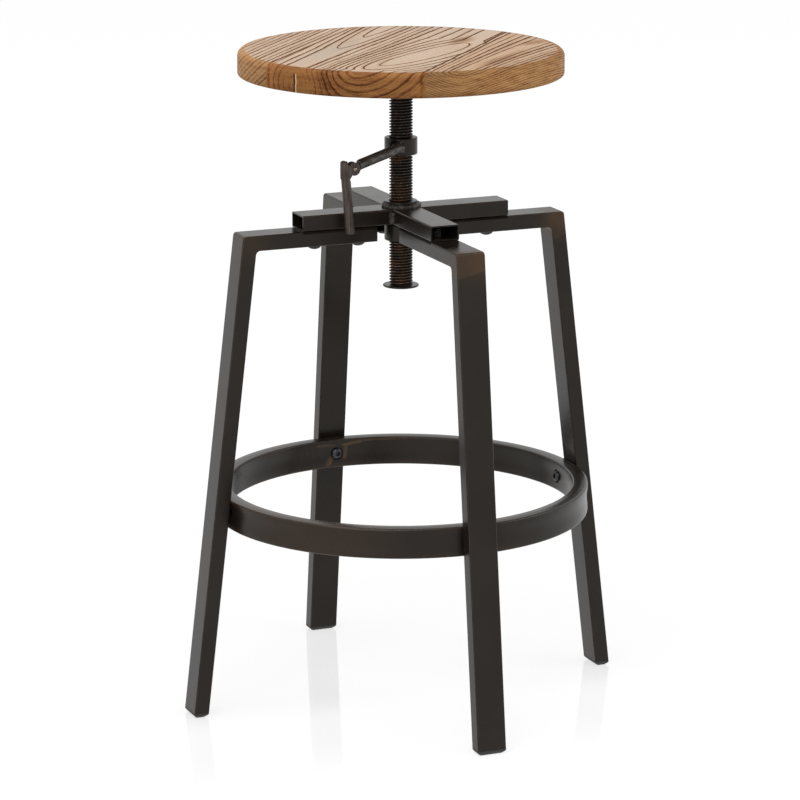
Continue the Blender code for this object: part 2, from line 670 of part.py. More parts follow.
def build_seat():
    """Everything that turns with the seat, under an empty on the rod's axis."""
    axis = empty("seat_axis", (0, 0, 0), BOARD_TURN)
    boards = (
        ("seat_board_left", LEFT_GLUE_LINE, SEAT_RADIUS),
        ("seat_board_middle", -RIGHT_GLUE_LINE, LEFT_GLUE_LINE),
        ("seat_board_right", -SEAT_RADIUS, -RIGHT_GLUE_LINE),
    )
    for name, low, high in boards:
        board = seat_board(name, low, high)
        if name == "seat_board_middle":
            pilots = pilot_holes(SEAT_BOTTOM - SEAT_SCREW_BITE, SEAT_BOTTOM + SEAT_SCREW_BITE + TOUCH_GAP)
            board = drilled(board, pilots)
        add(name, board, "wood", axis)
    plate = lathe("seat_plate", solid_rod(PLATE_RADIUS, PLATE_THICKNESS), ROUND_SEGMENTS)
    moved(plate, Matrix.Translation((0, 0, PLATE_BOTTOM)))
    plate = drilled(plate, pilot_holes(PLATE_BOTTOM - PLATE_THICKNESS, SEAT_BOTTOM))
    add("seat_plate", plate, "frame_paint", axis)
    bite = 2 * TOUCH_GAP + PLATE_THICKNESS + SEAT_SCREW_BITE
    for number, place in enumerate(seat_screw_places(), 1):
        profile = dome_screw(SEAT_SCREW_RADIUS, bite, SEAT_SCREW_HEAD_RADIUS, SEAT_SCREW_HEAD_HEIGHT)
        screw = lathe("seat_screw", profile, SMALL_SEGMENTS)
        add(f"seat_screw_{number}", screw, "plain_steel", axis,
            place + Vector((0, 0, PLATE_BOTTOM - TOUCH_GAP)))
    add("threaded_rod", threaded_rod(), "thread_steel", axis, (0, 0, ROD_BOTTOM))
    disc = lathe("stop_disc", solid_rod(STOP_RADIUS, STOP_THICKNESS), ROUND_SEGMENTS)
    hole = (STOP_SCREW_RADIUS + HOLE_GAP, (0, 0, -STOP_THICKNESS), (0, 0, 2 * STOP_THICKNESS))
    add("stop_disc", drilled(disc, [hole]), "frame_paint", axis, (0, 0, STOP_BOTTOM))
    profile = dome_screw(STOP_SCREW_RADIUS, 2 * TOUCH_GAP + STOP_THICKNESS + STOP_SCREW_BITE,
                         STOP_SCREW_HEAD_RADIUS, STOP_SCREW_HEAD_HEIGHT)
    add("stop_screw", lathe("stop_screw", profile, SMALL_SEGMENTS), "bolt_steel", axis,
        (0, 0, STOP_BOTTOM - TOUCH_GAP))


def build_crank():
    """Collar on the rod's axis, the crank arm that turns with it and the handle on its rivet."""
    axis = empty("collar_axis", (0, 0, COLLAR_MIDDLE), CRANK_BEARING)
    half = COLLAR_HEIGHT / 2
    collar = ring_profile(BORE_RADIUS, COLLAR_RADIUS, -half, half, COLLAR_CHAMFER)
    add("lock_collar", lathe("lock_collar", collar, ROUND_SEGMENTS), "frame_paint", axis)
    add("crank_arm", crank_arm(), "frame_paint", axis)
    add("crank_handle", crank_handle(), "handle_steel", axis, rivet_point(), CRANK_TURN)
    add("handle_rivet", handle_rivet(), "plain_steel", axis, rivet_point(), CRANK_TURN)


def build_frame():
    """Hub, foot ring and the pieces of each leg."""
    frame = empty("frame", (0, 0, 0))
    add("hub_sleeve", hub_sleeve(), "frame_paint", frame)
    add("foot_ring", foot_ring(), "frame_paint", frame)
    pieces = (
        ("cross_arm", cross_arm(), "frame_paint"),
        ("leg", leg(), "frame_paint"),
        ("foot_cap", foot_cap(), "cap_plastic"),
        ("ring_bolt", ring_bolt(), "bolt_steel"),
        ("ring_insert", ring_insert(), "plain_steel"),
    )
    fastenings = (("leg_bolt", leg_bolt(), "bolt_steel"), ("arm_nut", arm_nut(), "plain_steel"))
    for number in range(1, LEG_COUNT + 1):
        side = empty(f"side_{number}", (0, 0, 0), math.tau * (number - 1) / LEG_COUNT)
        side.parent = frame
        for name, mesh, finish in pieces:
            add(f"{name}_{number}", mesh.copy(), finish, side)
        for place, distance in BOLT_PLACES.items():
            for name, mesh, finish in fastenings:
                add(f"{name}_{number}_{place}", mesh.copy(), finish, side, (distance, 0, 0))


def main():
    for thing in list(bpy.data.objects):
        bpy.data.objects.remove(thing)
    build_seat()
    build_crank()
    build_frame()


main()
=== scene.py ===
from math import ceil, cos, hypot, pi, radians, sin, sqrt, tan, tau

import bmesh
import bpy
from mathutils import Matrix, Vector, noise


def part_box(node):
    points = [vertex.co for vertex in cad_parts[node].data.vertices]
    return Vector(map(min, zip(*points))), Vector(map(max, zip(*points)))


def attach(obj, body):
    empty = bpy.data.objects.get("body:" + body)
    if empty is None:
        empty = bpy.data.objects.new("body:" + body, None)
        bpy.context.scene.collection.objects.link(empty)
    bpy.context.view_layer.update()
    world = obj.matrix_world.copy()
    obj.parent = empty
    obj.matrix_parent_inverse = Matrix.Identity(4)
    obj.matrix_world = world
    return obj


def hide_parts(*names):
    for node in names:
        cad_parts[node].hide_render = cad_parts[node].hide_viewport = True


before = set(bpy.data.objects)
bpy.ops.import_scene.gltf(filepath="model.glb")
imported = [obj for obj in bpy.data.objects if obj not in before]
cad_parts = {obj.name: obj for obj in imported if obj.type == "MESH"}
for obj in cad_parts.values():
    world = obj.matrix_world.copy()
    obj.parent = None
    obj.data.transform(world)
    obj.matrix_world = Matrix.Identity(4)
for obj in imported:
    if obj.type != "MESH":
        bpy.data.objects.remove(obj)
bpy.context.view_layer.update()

scene = bpy.context.scene
scene.view_settings.view_transform = "Standard"

# Camera at the photograph's angle
VIEW_BEARING = radians(-22.8)
VIEW_ELEVATION = radians(13.533)
VIEW_DISTANCE = 3.9407
VIEW_TARGET = Vector((0.0, 0.0, 0.330))
SENSOR_WIDTH = 36.0
LENS = 170.469
LENS_SHIFT = (-0.00115, -0.019175)

# Light and floor, in metres and watts
SOFTBOXES = {  # place, size, power
    "softbox_top": ((-0.6, -0.5, 3.0), 2.6, 62.0),
    "softbox_front": ((-2.4, -2.6, 1.7), 2.2, 34.0),
    "softbox_side": ((2.9, -1.4, 1.5), 1.8, 22.0),
}
WHITE = (1.0, 1.0, 1.0)
AMBIENT = 0.42
FLOOR_HALF = 8.0
FLOOR_COLOUR = (0.8, 0.8, 0.8)
FLOOR_SHADE = (0.22, 0.22, 0.22)
FLOOR_GLOW = 0.853
FLOOR_FAR_GLOW = 0.08
FLOOR_FAR = (0.35, 1.7)
FLOOR_NEAR_GLOW = 0.06
FLOOR_NEAR = (-0.40, 0.05)
FLOOR_ROUGH = 0.04
FLOOR_MIRRORS = ((-0.34, -0.14, 0.085), (-0.09, 0.0, 0.105))  # start, end, share
FLOOR_MIRROR_LEAN = 0.35

# Sizes of the visual pieces, in metres
SHARP_ANGLE = radians(32.0)
SKIN = 0.0002
ROUNDING = 1e-6
CUTTER_REACH = 0.02
ROUND_SEGMENTS = 48
EDGE_STEPS = (3, 3)  # lower and upper
DOME_STEPS = 6
SEAT_RADIUS = 0.1668
SEAT_TOP = 0.6823
SEAT_EDGES = (0.002, 0.0065, (6, 12))  # lower and upper rounding, their steps
SEAT_SEGMENTS = 256
BOARD_TURN = radians(49.5)
LEFT_GLUE = 0.0965
RIGHT_GLUE = -0.073
GLUE_GAP = 0.00005
ROD_RADIUS = 0.0122
ROD_BORE = 0.0123
THREAD_PITCH = 0.003
THREAD_DEPTH = 0.002
THREAD_SEGMENTS = 48
THREAD_START = 1.5  # turns below the rod's end
THREAD_PROFILE = ((0.0, 0.0), (0.34, 0.0), (0.61, 1.0), (0.73, 1.0))  # turn, share of the depth
STOP_EDGE = 0.4  # share of the disc's thickness
TUBE_WIDTH = 0.031
TUBE_DEPTH = 0.016
TUBE_WALL = 0.0015
TUBE_CORNER = 0.0016
LEAST_ROUND = 0.0005
CORNER_STEPS = 4
BEND_STEPS = 8
LEGS = 4
LEG_RUNS = 6
LEG_TOP = 0.503
LEG_START = 0.0325
LEG_FOOT = 0.0053
LEG_SHOULDER = 0.1785
FOOT_REACH = 0.238
LEG_SLOPE = (FOOT_REACH - LEG_SHOULDER) / LEG_TOP
SHOULDER_ROUND = 0.0035
ARMPIT_ROUND = 0.005
CAP_EDGE = 0.0035
CAP_TOP = 0.0051
CAP_STEPS = 4
CAP_CURVE = 1.3
ARM_END = 0.114
ARM_RUNS = (0.4, 0.7, 1.0)  # shares of an arm's length
MITRE_GAP = 0.0003
RING_MIDDLE = 0.213
RING_SEGMENTS = 192
RING_SPREAD = 0.0008
RING_CORNER = 0.0022
RING_BOW = (-0.0010, 0.0003)  # upright and level sides
BOW_STEPS = 8
DIMPLE_DEPTH = 0.0023
DIMPLE_RADIUS = 0.0073
DIMPLE_EDGE = 0.0004
DIMPLE_CUTTER = 0.01
HUB_RADIUS = 0.017
HUB_EDGE = 0.0007
COLLAR_EDGE = 0.0009
LEG_HEAD_RADIUS = 0.0075
LEG_HEAD_RIM = 0.0008
LEG_HEAD_TAPER = 0.0003
LEG_SHANK = 0.004
RING_HEAD_RADIUS = 0.0057
RING_HEAD_HEIGHT = 0.0034
RING_HEAD_RIM = 0.0006
RING_SHANK = 0.003
RING_SOCKET = 0.005
RING_SOCKET_FLOOR = -0.0004

# Welds: lumps are pairs of share and scale
BEAD_SEGMENTS = 144
BEAD_RIPPLES = 22
BEAD_STEPS = 6
BEAD_WIDTH = 0.0036
BEAD_HEIGHT = 0.0044
BEAD_SINK = 0.0008
BEAD_PUFF = 0.10
BEAD_WANDER = (2.2, 2.6)
BEAD_LUMPS = ((0.30, 3.4), (0.14, 8.3))
BEAD_TOP_LUMP = (0.18, 5.1)
SEAM_OUT = 0.0004
SEAM_RUNS = 14
SEAM_SIDES = 16
SEAM_RADIUS = 0.004
SEAM_MARGIN = 0.0008
SEAM_END = 6  # power that rounds its ends
SEAM_LEAST = 0.04
SEAM_WAVES = 1.8
SEAM_CLIMB = 260  # noise along its height
SEAM_LUMP = (0.20, 1.1)
SEAM_WIDE = 1.15
WELD_BLOBS = (  # middle, reach
    ((-0.0004, -0.0026, -0.0006), (0.0050, 0.0044, 0.0060)),
    ((0.0030, -0.0042, -0.0038), (0.0085, 0.0026, 0.0027)),
    ((0.0010, -0.0042, 0.0044), (0.0065, 0.0024, 0.0024)),
)
BLOB_FINENESS = 4
BLOB_SPREAD = 900  # keeps the blobs' lumps apart
BLOB_LUMP = (0.16, 1.7)
BLOB_GRAIN = (0.08, 4.0)

# Crank and handle
CRANK_BEARING = radians(247.5)
CRANK_TURN = radians(-60.0)
CRANK_DROOP = radians(15.3)
CRANK_LENGTH = 0.0563 / cos(CRANK_DROOP)
CRANK_RADIUS = 0.0047
BAR_RADIUS = 0.0053
BAR_LIFT = 0.0013
BAR_START = ((0.0, 0.80, 0.80), (0.0008, 1.0, 1.0))  # from the weld: place, width, height
BAR_RUNS = (0.2, 0.5)  # shares of the way to the neck
BAR_NECK = ((-0.0016, 1.0, 1.0), (-0.0004, 0.92, 0.96), (0.0, 0.80, 0.90))
EYE_RADIUS = 0.0041
EYE_HALF = 0.002
EYE_ARC = (-90, 90, 12)  # first and last degree, steps
EYE_TAIL = (2.0, 0.9)  # length and half height, in radii
HOLE_ARC = (0, 345, 23)
FORK_GAP = 0.0004
HANDLE_RADIUS = 0.00455
HANDLE_LEAN = radians(5.0)
HANDLE_FORK = 0.010
HANDLE_STATIONS = (  # height, share of the radius, shift
    (0.0085, 0.80, 0.0), (0.0079, 0.98, 0.0002), (0.0070, 1.06, 0.0003), (0.0, 1.08, 0.0003),
    (-0.0090, 1.08, 0.0003), (-0.0110, 1.02, -0.0004), (-0.0130, 1.08, -0.0006),
    (-0.0400, 1.08, -0.0006), (-0.0660, 1.08, -0.0006), (-0.0664, 1.05, -0.0006),
    (-0.0668, 0.96, -0.0006),
)
NOTCH_FLOOR = 0.004
NOTCH_OUTLINE = ((-0.008, -0.01), (-0.0003, -0.01), (-0.0003, 0.01), (-0.008, 0.01))
EAR_RADIUS = 0.0068
EAR_THICKNESS = 0.002
EAR_ARC = (45, 295, 25)
EAR_ROOT = ((-0.0030, -0.0105), (0.0012, -0.0105), (0.0012, NOTCH_FLOOR - 0.0004),
            (-0.0025, NOTCH_FLOOR - 0.0004))
EAR_ROWS = ((0.0, 0.97), (0.0004, 1.0), (EAR_THICKNESS - 0.0005, 1.0), (EAR_THICKNESS, 0.94))
RIVET_RADIUS = 0.0018
RIVET_HEAD_RADIUS = 0.0022
RIVET_HEAD_HEIGHT = 0.0012

# Colours of the wood from its light to its dark grain
WOOD_TOP = ((0.0, (0.494, 0.370, 0.274)), (0.28, (0.388, 0.243, 0.144)),
            (0.60, (0.190, 0.088, 0.036)), (1.0, (0.070, 0.026, 0.008)))
WOOD_END = ((0.0, (0.255, 0.122, 0.040)), (0.35, (0.200, 0.085, 0.025)),
            (0.7, (0.105, 0.038, 0.011)), (1.0, (0.050, 0.016, 0.005)))
# Painted shade on the rim's end grain near the middle across the boards, where the lamps light it
# more
END_PAINTED_SHADE = (0.64, 0.64, 0.64)
# Painted shade on the lowest part of the rim, which faces the floor
END_UNDER_SHADE = (0.5, 0.5, 0.5)
WOOD_WARM = (0.95, 0.88, 0.78)
WOOD_GREY = (0.85, 0.885, 0.895)
CRACK_SHADOW = (0.05, 0.018, 0.006)
CRACK_LIGHT = (0.55, 0.36, 0.20)

# Grain of the wood, in millimetres along the boards, across them and above the seat's top
RIM_SPAN = (158.6, 159.8)
RIM_WANDER = 2.4
# span across the boards of the painted shade on the rim
END_PAINTED_SHADE_SPAN = (60.0, 150.0)
# heights of the painted shade on the rim's lowest part
END_UNDER_SHADE_SPAN = (-25.0, -18.0)
HEART = -60.0  # across, of the rings and the crack
HEART_CALM = (10.0, 40.0)
CRACK_ALONG = (-110.0, -100.0)
CRACK_UP = (-7.0, -5.0)
CRACK_OFFSET = 0.9
WOOD_NOISES = {  # cycles a millimetre, detail, roughness
    "sway": ((0.012, 0.05, 0.05), 2.0),
    "fine": ((0.06, 0.30, 0.30), 2.0),
    "patch": ((0.010, 0.03, 0.03), 1.0),
    "fibre": ((0.02, 1.7, 1.7), 3.0, 0.6),
    "shade": ((0.006, 0.03, 0.03), 2.0),
    "pores": ((1.1, 1.1, 1.1), 2.0, 0.6),
    "blotch": ((0.05, 0.06, 0.28), 2.0),
}

# Colours of the metal and plastic
PAINT_IOR = 1.34
PAINT_TINT = (1.0, 0.955, 0.90)
PAINT_DARK = (0.0085, 0.0058, 0.0040)
PAINT_LIGHT = (0.0125, 0.0090, 0.0064)
PAINT_BRONZE = (0.040, 0.023, 0.012)
PAINT_COPPER = (0.056, 0.030, 0.013)
# Rubbed paint on the tubes' corners, lighter so that it is also a painted highlight along them
PAINT_RUBBED_HIGHLIGHT = (0.060, 0.038, 0.022)
PAINT_RUST = (0.16, 0.095, 0.042)
# Near-black spot on the collar by the crank's weld: painted shade
PAINT_SHADE_SPOT = (0.0016, 0.0014, 0.0012)
PAINT_WELD = (0.034, 0.028, 0.023)
WELD_IOR = 1.4
THREAD_IOR = 1.4
THREAD_DARK = (0.0022, 0.0018, 0.0016)
# Crests rubbed brown, lighter so that they are also a painted highlight
THREAD_CREST_HIGHLIGHT = (0.095, 0.070, 0.054)
THREAD_RUST = (0.120, 0.052, 0.021)
THREAD_GLINT = (0.34, 0.275, 0.215)
CRANK_STEEL = {"dark": (0.034, 0.032, 0.030), "light": (0.125, 0.118, 0.110),
               "rust": (0.050, 0.042, 0.035), "shine": 0.35, "stretch": (60.0, 900.0, 300.0)}
HANDLE_STEEL = {"dark": (0.026, 0.018, 0.013), "light": (0.085, 0.066, 0.053),
                "rust": (0.048, 0.025, 0.013), "shine": 0.15, "stretch": (900.0, 900.0, 60.0)}
BOLT_STEEL = ((0.020, 0.020, 0.021), 0.5)  # colour, shine
PLAIN_STEEL = ((0.13, 0.112, 0.088), 0.9)
# Nuts inside the arms, near black as painted shade inside the tubes
NUT_SHADED_STEEL = ((0.004, 0.004, 0.005), 0.8)
SOCKET_STEEL = ((0.030, 0.031, 0.033), 0.8)
BOLT_LIGHT = 1.9  # lightest patches against the colour
CAP_DARK = (0.0050, 0.0048, 0.0045)
CAP_SCUFFED = (0.016, 0.015, 0.013)

# Noise of the metal and plastic: cycles a metre, detail, roughness
CLOUD = (18.0, 3.0)
SMUDGE = (70.0, 3.0, 0.6)
GRIT = (900.0, 2.0)
RIM_CLOUD = (9.0, 3.0)
WELD_LUMP = (420.0, 2.0)
WELD_CLOUD = (120.0, 2.0)
THREAD_PATCH = (55.0, 3.0, 0.6)
THREAD_SPECK = (500.0, 2.0)
THREAD_SPARK = (330.0, 2.0)
WORN_SCRATCH = (1.0, 3.0, 0.6)
WORN_PATCH = (110.0, 3.0, 0.6)
BOLT_PATCH = (160.0, 3.0)
CAP_GRAIN = (1400.0, 2.0)
CAP_SCUFF = (130.0, 3.0)

# Marks on the paint, with its painted shade and highlight, in metres
RIGHT_LEG = (0.150, 0.165)
FRONT_LEG = (0.165, 0.170)
BRONZE_SOFT = (0.010, 0.038)
BRONZE_HARD = (0.020, 0.0235)
BRONZE_LEAN = 0.19
COPPER_SPAN = (-0.014, 0.012)
# Gap between each leg and its arm, where the paint loses its sheen: painted shade
GAP_SHADE_HEIGHT = LEG_TOP - 0.001
GAP_SHADE_SPAN = (0.0010, 0.0024)
GAP_SHADE_END = (-0.0005, 0.0005)
# rise over which the arms' corners get their full rubbed line and painted highlight
RUB_HIGHLIGHT_FADE = 0.0004
RING_INSIDE = (0.150, 0.160)
RING_PATCH = (-0.153, -0.136)
RING_PATCH_SPAN = (0.02, 0.12)
RING_CLEAN = (0.08, 0.14)
RING_EDGES = (8.0, 15.0)  # millimetres from its middle
# Spot of painted shade on the collar, where the crank's weld meets it
SHADE_SPOT_BEARING = radians(225.0)
SHADE_SPOT_HEIGHT = 0.64  # share of the collar's height
SHADE_SPOT_SPAN = (0.00429, 0.0078)
RUST_SIDE = (-0.75, -0.35)  # rusty side of the rod

# Streaks by the back leg's bolt on the ring's inner face: start, end, width, share; millimetres
RING_STREAKS = (
    ((-5.0, -4.0), (-12.5, -16.8), 1.6, 0.6),
    ((-7.0, -5.0), (-11.0, -11.0), 4.5, 0.4),
    ((7.0, 9.0), (27.0, 12.0), 2.4, 0.45),
    ((30.0, 13.0), (75.0, 13.6), 1.4, 0.35),
    ((-22.0, 10.5), (4.0, 9.0), 2.6, 0.25),
    ((8.8, -5.0), (10.0, 5.0), 3.4, 0.4),
    ((-60.0, -14.2), (-14.0, -14.6), 1.0, 0.4),
)

# Sockets of the shader, and of a Mix node for colours: share, first, second
SOCKETS = {"colour": "Base Color", "rough": "Roughness", "metal": "Metallic", "ior": "IOR",
           "specular": "Specular IOR Level", "tint": "Specular Tint", "normal": "Normal"}
MIX_INPUTS = (0, 6, 7)
MIX_OUTPUT = 2
MM = 1000.0  # in a metre


def feed(place, value):
    """Link a wire to a socket, or set the socket's own value; a colour comes without its alpha."""
    if isinstance(value, Wire):
        value.tree.links.new(value.socket, place)
    else:
        place.default_value = (*value, 1.0) if place.type == "RGBA" else value


def new_wire(tree, kind, out=0, inputs=None, **settings):
    """Output of a new node with these settings and inputs, which are named or numbered."""
    node = tree.nodes.new("ShaderNode" + kind)
    for name, value in settings.items():
        setattr(node, name, value)
    for name, value in (inputs or {}).items():
        feed(node.inputs[name], value)
    return Wire(tree, node.outputs[out])


def operation(kind):
    """Method of a wire that adds a Math node."""
    def method(self, *others):
        return new_wire(self.tree, "Math", 0, dict(enumerate((self, *others))), operation=kind)
    return method


class Wire:
    """A socket of a node tree that takes part in arithmetic."""

    def __init__(self, tree, socket):
        self.tree = tree
        self.socket = socket

    __add__ = __radd__ = operation("ADD")
    __sub__ = operation("SUBTRACT")
    __mul__ = operation("MULTIPLY")
    __truediv__ = operation("DIVIDE")
    abs = operation("ABSOLUTE")
    sqrt = operation("SQRT")
    power = operation("POWER")
    fract = operation("FRACT")
    floor = operation("FLOOR")
    least = operation("MINIMUM")
    most = operation("MAXIMUM")

    def __rsub__(self, other):
        return self * -1.0 + other

    def step(self, low, high):
        """0 below low, 1 above high, smooth between."""
        inputs = {"Value": self, "From Min": low, "From Max": high}
        return new_wire(self.tree, "MapRange", "Result", inputs, interpolation_type="SMOOTHSTEP")

    def fade(self, low, high):
        """1 below low, 0 above high, smooth between."""
        return 1.0 - self.step(low, high)


class Kit:
    """Short calls for the nodes of one material."""

    def __init__(self, name):
        self.material = bpy.data.materials.new(name)
        self.material.use_nodes = True
        self.tree = self.material.node_tree
        self.tree.nodes.clear()
        self.place = self.wire("TexCoord", "Object")

    def wire(self, *node, **settings):
        return new_wire(self.tree, *node, **settings)

    def split(self, vector):
        node = self.tree.nodes.new("ShaderNodeSeparateXYZ")
        feed(node.inputs[0], vector)
        return [Wire(self.tree, socket) for socket in node.outputs]

    def noise(self, scale, detail, rough=0.5, at=None):
        return self.wire("TexNoise", "Fac", {"Vector": at or self.place, "Scale": scale,
                                             "Detail": detail, "Roughness": rough})

    def white(self, value):
        """A random number for each whole value."""
        return self.wire("TexWhiteNoise", "Value", {"W": value}, noise_dimensions="1D")

    def edge(self):
        """Share of edge wear, with its painted highlight, that the mesh carries."""
        return self.wire("Attribute", "Fac", attribute_name="edge")

    def mix(self, share, first, second, blend="MIX"):
        inputs = dict(zip(MIX_INPUTS, (share, first, second)))
        return self.wire("Mix", MIX_OUTPUT, inputs, data_type="RGBA", blend_type=blend)

    def tint(self, share, colour, by):
        return self.mix(share, colour, by, "MULTIPLY")

    def ramp(self, value, stops):
        node = self.tree.nodes.new("ShaderNodeValToRGB")
        feed(node.inputs[0], value)
        points = node.color_ramp.elements
        while len(points) < len(stops):
            points.new(0.5)
        for point, (place, colour) in zip(points, stops):
            point.position = place
            point.color = (*colour, 1.0)
        return Wire(self.tree, node.outputs[0])

    def bump(self, height, strength, distance):
        return self.wire("Bump", 0, {"Height": height, "Strength": strength, "Distance": distance})

    def show(self, shader):
        output = self.tree.nodes.new("ShaderNodeOutputMaterial")
        feed(output.inputs["Surface"], shader)
        return self.material

    def finish(self, **values):
        inputs = {SOCKETS[name]: value for name, value in values.items()}
        return self.show(self.wire("BsdfPrincipled", 0, inputs))


# Stage

def aimed(name, data, at, forward):
    """Camera or lamp that looks along a direction."""
    thing = bpy.data.objects.new(name, data)
    thing.location = at
    thing.rotation_euler = forward.to_track_quat("-Z", "Y").to_euler()
    scene.collection.objects.link(thing)
    return thing


def make_camera():
    flat = cos(VIEW_ELEVATION)
    forward = Vector((-sin(VIEW_BEARING) * flat, cos(VIEW_BEARING) * flat, -sin(VIEW_ELEVATION)))
    lens = bpy.data.cameras.new("camera")
    lens.sensor_width = SENSOR_WIDTH
    lens.lens = LENS
    lens.shift_x, lens.shift_y = LENS_SHIFT
    scene.camera = aimed("camera", lens, VIEW_TARGET - forward * VIEW_DISTANCE, forward)


def make_lamp(name, at, size, power):
    light = bpy.data.lights.new(name, "AREA")
    light.shape = "SQUARE"
    light.size = size
    light.energy = power
    aimed(name, light, at, VIEW_TARGET - Vector(at))


def seen_rays(tree):
    """1 for the rays that see the background: straight, mirrored and through glass."""
    path = tree.nodes.new("ShaderNodeLightPath").outputs
    straight, mirrored, through = (
        Wire(tree, path[f"Is {kind} Ray"]) for kind in ("Camera", "Glossy", "Transmission"))
    return straight.most(mirrored).most(through)


def make_world():
    """White to the eye and in mirrors, a dimmer light on the object."""
    world = bpy.data.worlds.new("studio")
    world.use_nodes = True
    scene.world = world
    back = world.node_tree.nodes["Background"].inputs
    feed(back["Strength"], seen_rays(world.node_tree) * (1.0 - AMBIENT) + AMBIENT)
    feed(back["Color"], WHITE)


def turned(x, y, angle):
    """Places along a heading and to its right."""
    return (x * cos(angle) + y * sin(angle), x * sin(angle) - y * cos(angle))


def make_floor():
    """White floor with a soft shadow and a faint mirror image, which fades to the front."""
    mesh = bpy.data.meshes.new("floor")
    corners = [(x * FLOOR_HALF, y * FLOOR_HALF, 0) for x, y in ((-1, -1), (1, -1), (1, 1), (-1, 1))]
    mesh.from_pydata(corners, [], [(0, 1, 2, 3)])
    floor = bpy.data.objects.new("floor", mesh)
    scene.collection.objects.link(floor)
    kit = Kit("studio_floor")
    seen = seen_rays(kit.tree)
    x, y, _ = kit.split(kit.place)
    side, front = turned(x, y, VIEW_BEARING)
    back = front * -1.0
    ground = FLOOR_GLOW - FLOOR_NEAR_GLOW + back.step(*FLOOR_NEAR) * FLOOR_NEAR_GLOW
    glow = seen * (back.step(*FLOOR_FAR) * FLOOR_FAR_GLOW + ground)
    slant = back - side * FLOOR_MIRROR_LEAN
    share = 0.0
    for start, end, more in FLOOR_MIRRORS:
        share = slant.step(start, end) * more + share
    diffuse = kit.wire("BsdfDiffuse", 0, {"Color": kit.mix(seen, FLOOR_COLOUR, FLOOR_SHADE)})
    sheet = kit.wire("AddShader", 0, {0: diffuse, 1: kit.wire("Emission", 0, {"Strength": glow})})
    gloss = kit.wire("BsdfGlossy", 0, {"Roughness": FLOOR_ROUGH})
    mesh.materials.append(kit.show(kit.wire("MixShader", 0, {0: share, 1: sheet, 2: gloss})))


# Mesh building

def spin(angle, axis="Z"):
    return Matrix.Rotation(angle, 4, axis)


def moved(mesh, matrix):
    mesh.transform(matrix)
    return mesh


def finish_mesh(shape):
    bmesh.ops.recalc_face_normals(shape, faces=shape.faces[:])
    mesh = bpy.data.meshes.new("mesh")
    shape.to_mesh(mesh)
    shape.free()
    return mesh


def bridge(shape, first, second):
    """Faces between two loops of vertices; a loop of one vertex is a point."""
    count = max(len(first), len(second))
    first, second = (loop * count if len(loop) == 1 else loop for loop in (first, second))
    for i in range(count):
        j = (i + 1) % count
        corners = dict.fromkeys((first[i], first[j], second[j], second[i]))
        shape.faces.new(list(corners))


def loft(loops, ring=False, marks=(), inner=()):
    """Skin over loops of points, closed by flat ends, into a ring or by the inner loops' skin.

    Marks give each point of a loop its share of edge wear and painted edge highlight.
    """
    shape = bmesh.new()
    layer = shape.verts.layers.float.new("edge")
    outer, inner = skins = [[[shape.verts.new(point) for point in loop] for loop in side]
                            for side in (loops, inner)]
    for loop in outer:
        for vertex, mark in zip(loop, marks):
            vertex[layer] = mark
    for skin in skins:
        for first, second in zip(skin, skin[1:]):
            bridge(shape, first, second)
    if ring:
        bridge(shape, outer[-1], outer[0])
        return finish_mesh(shape)
    for end in (0, -1):
        if inner:
            bridge(shape, outer[end], inner[end])
        elif len(outer[end]) > 1:
            shape.faces.new(outer[end])
    return finish_mesh(shape)


def cut_off(shape, point, direction):
    """Cut away what lies beyond a plane, and close the cut."""
    everything = shape.verts[:] + shape.edges[:] + shape.faces[:]
    bmesh.ops.bisect_plane(shape, geom=everything, plane_co=point, plane_no=direction,
                           clear_outer=True)
    rim = [edge for edge in shape.edges if edge.is_boundary
           and all(abs((vertex.co - point).dot(direction)) < ROUNDING for vertex in edge.verts)]
    bmesh.ops.edgeloop_fill(shape, edges=rim)


def circle(radius, height, segments):
    if radius == 0:
        return [(0.0, 0.0, height)]
    angles = [tau * i / segments for i in range(segments)]
    return [(radius * cos(a), radius * sin(a), height) for a in angles]


def lathe(profile, segments=ROUND_SEGMENTS):
    """Turn (radius, height) points about Z. A profile that starts off the axis closes on itself."""
    return loft([circle(radius, height, segments) for radius, height in profile], profile[0][0] > 0)


def combined(target, cutter, operator="DIFFERENCE"):
    """Boolean of two meshes, which are used up."""
    pair = [bpy.data.objects.new(mesh.name, mesh) for mesh in (target, cutter)]
    for thing in pair:
        scene.collection.objects.link(thing)
    modifier = pair[0].modifiers.new("combine", "BOOLEAN")
    modifier.operation = operator
    modifier.solver = "EXACT"
    modifier.object = pair[1]
    view = bpy.context.evaluated_depsgraph_get()
    result = bpy.data.meshes.new_from_object(pair[0].evaluated_get(view))
    for mesh in (target, cutter):
        bpy.data.meshes.remove(mesh)
    return result


def arc(centre, radius, first, last, steps):
    angles = [radians(first + (last - first) * i / steps) for i in range(steps + 1)]
    return [(centre[0] + radius * cos(a), centre[1] + radius * sin(a)) for a in angles]


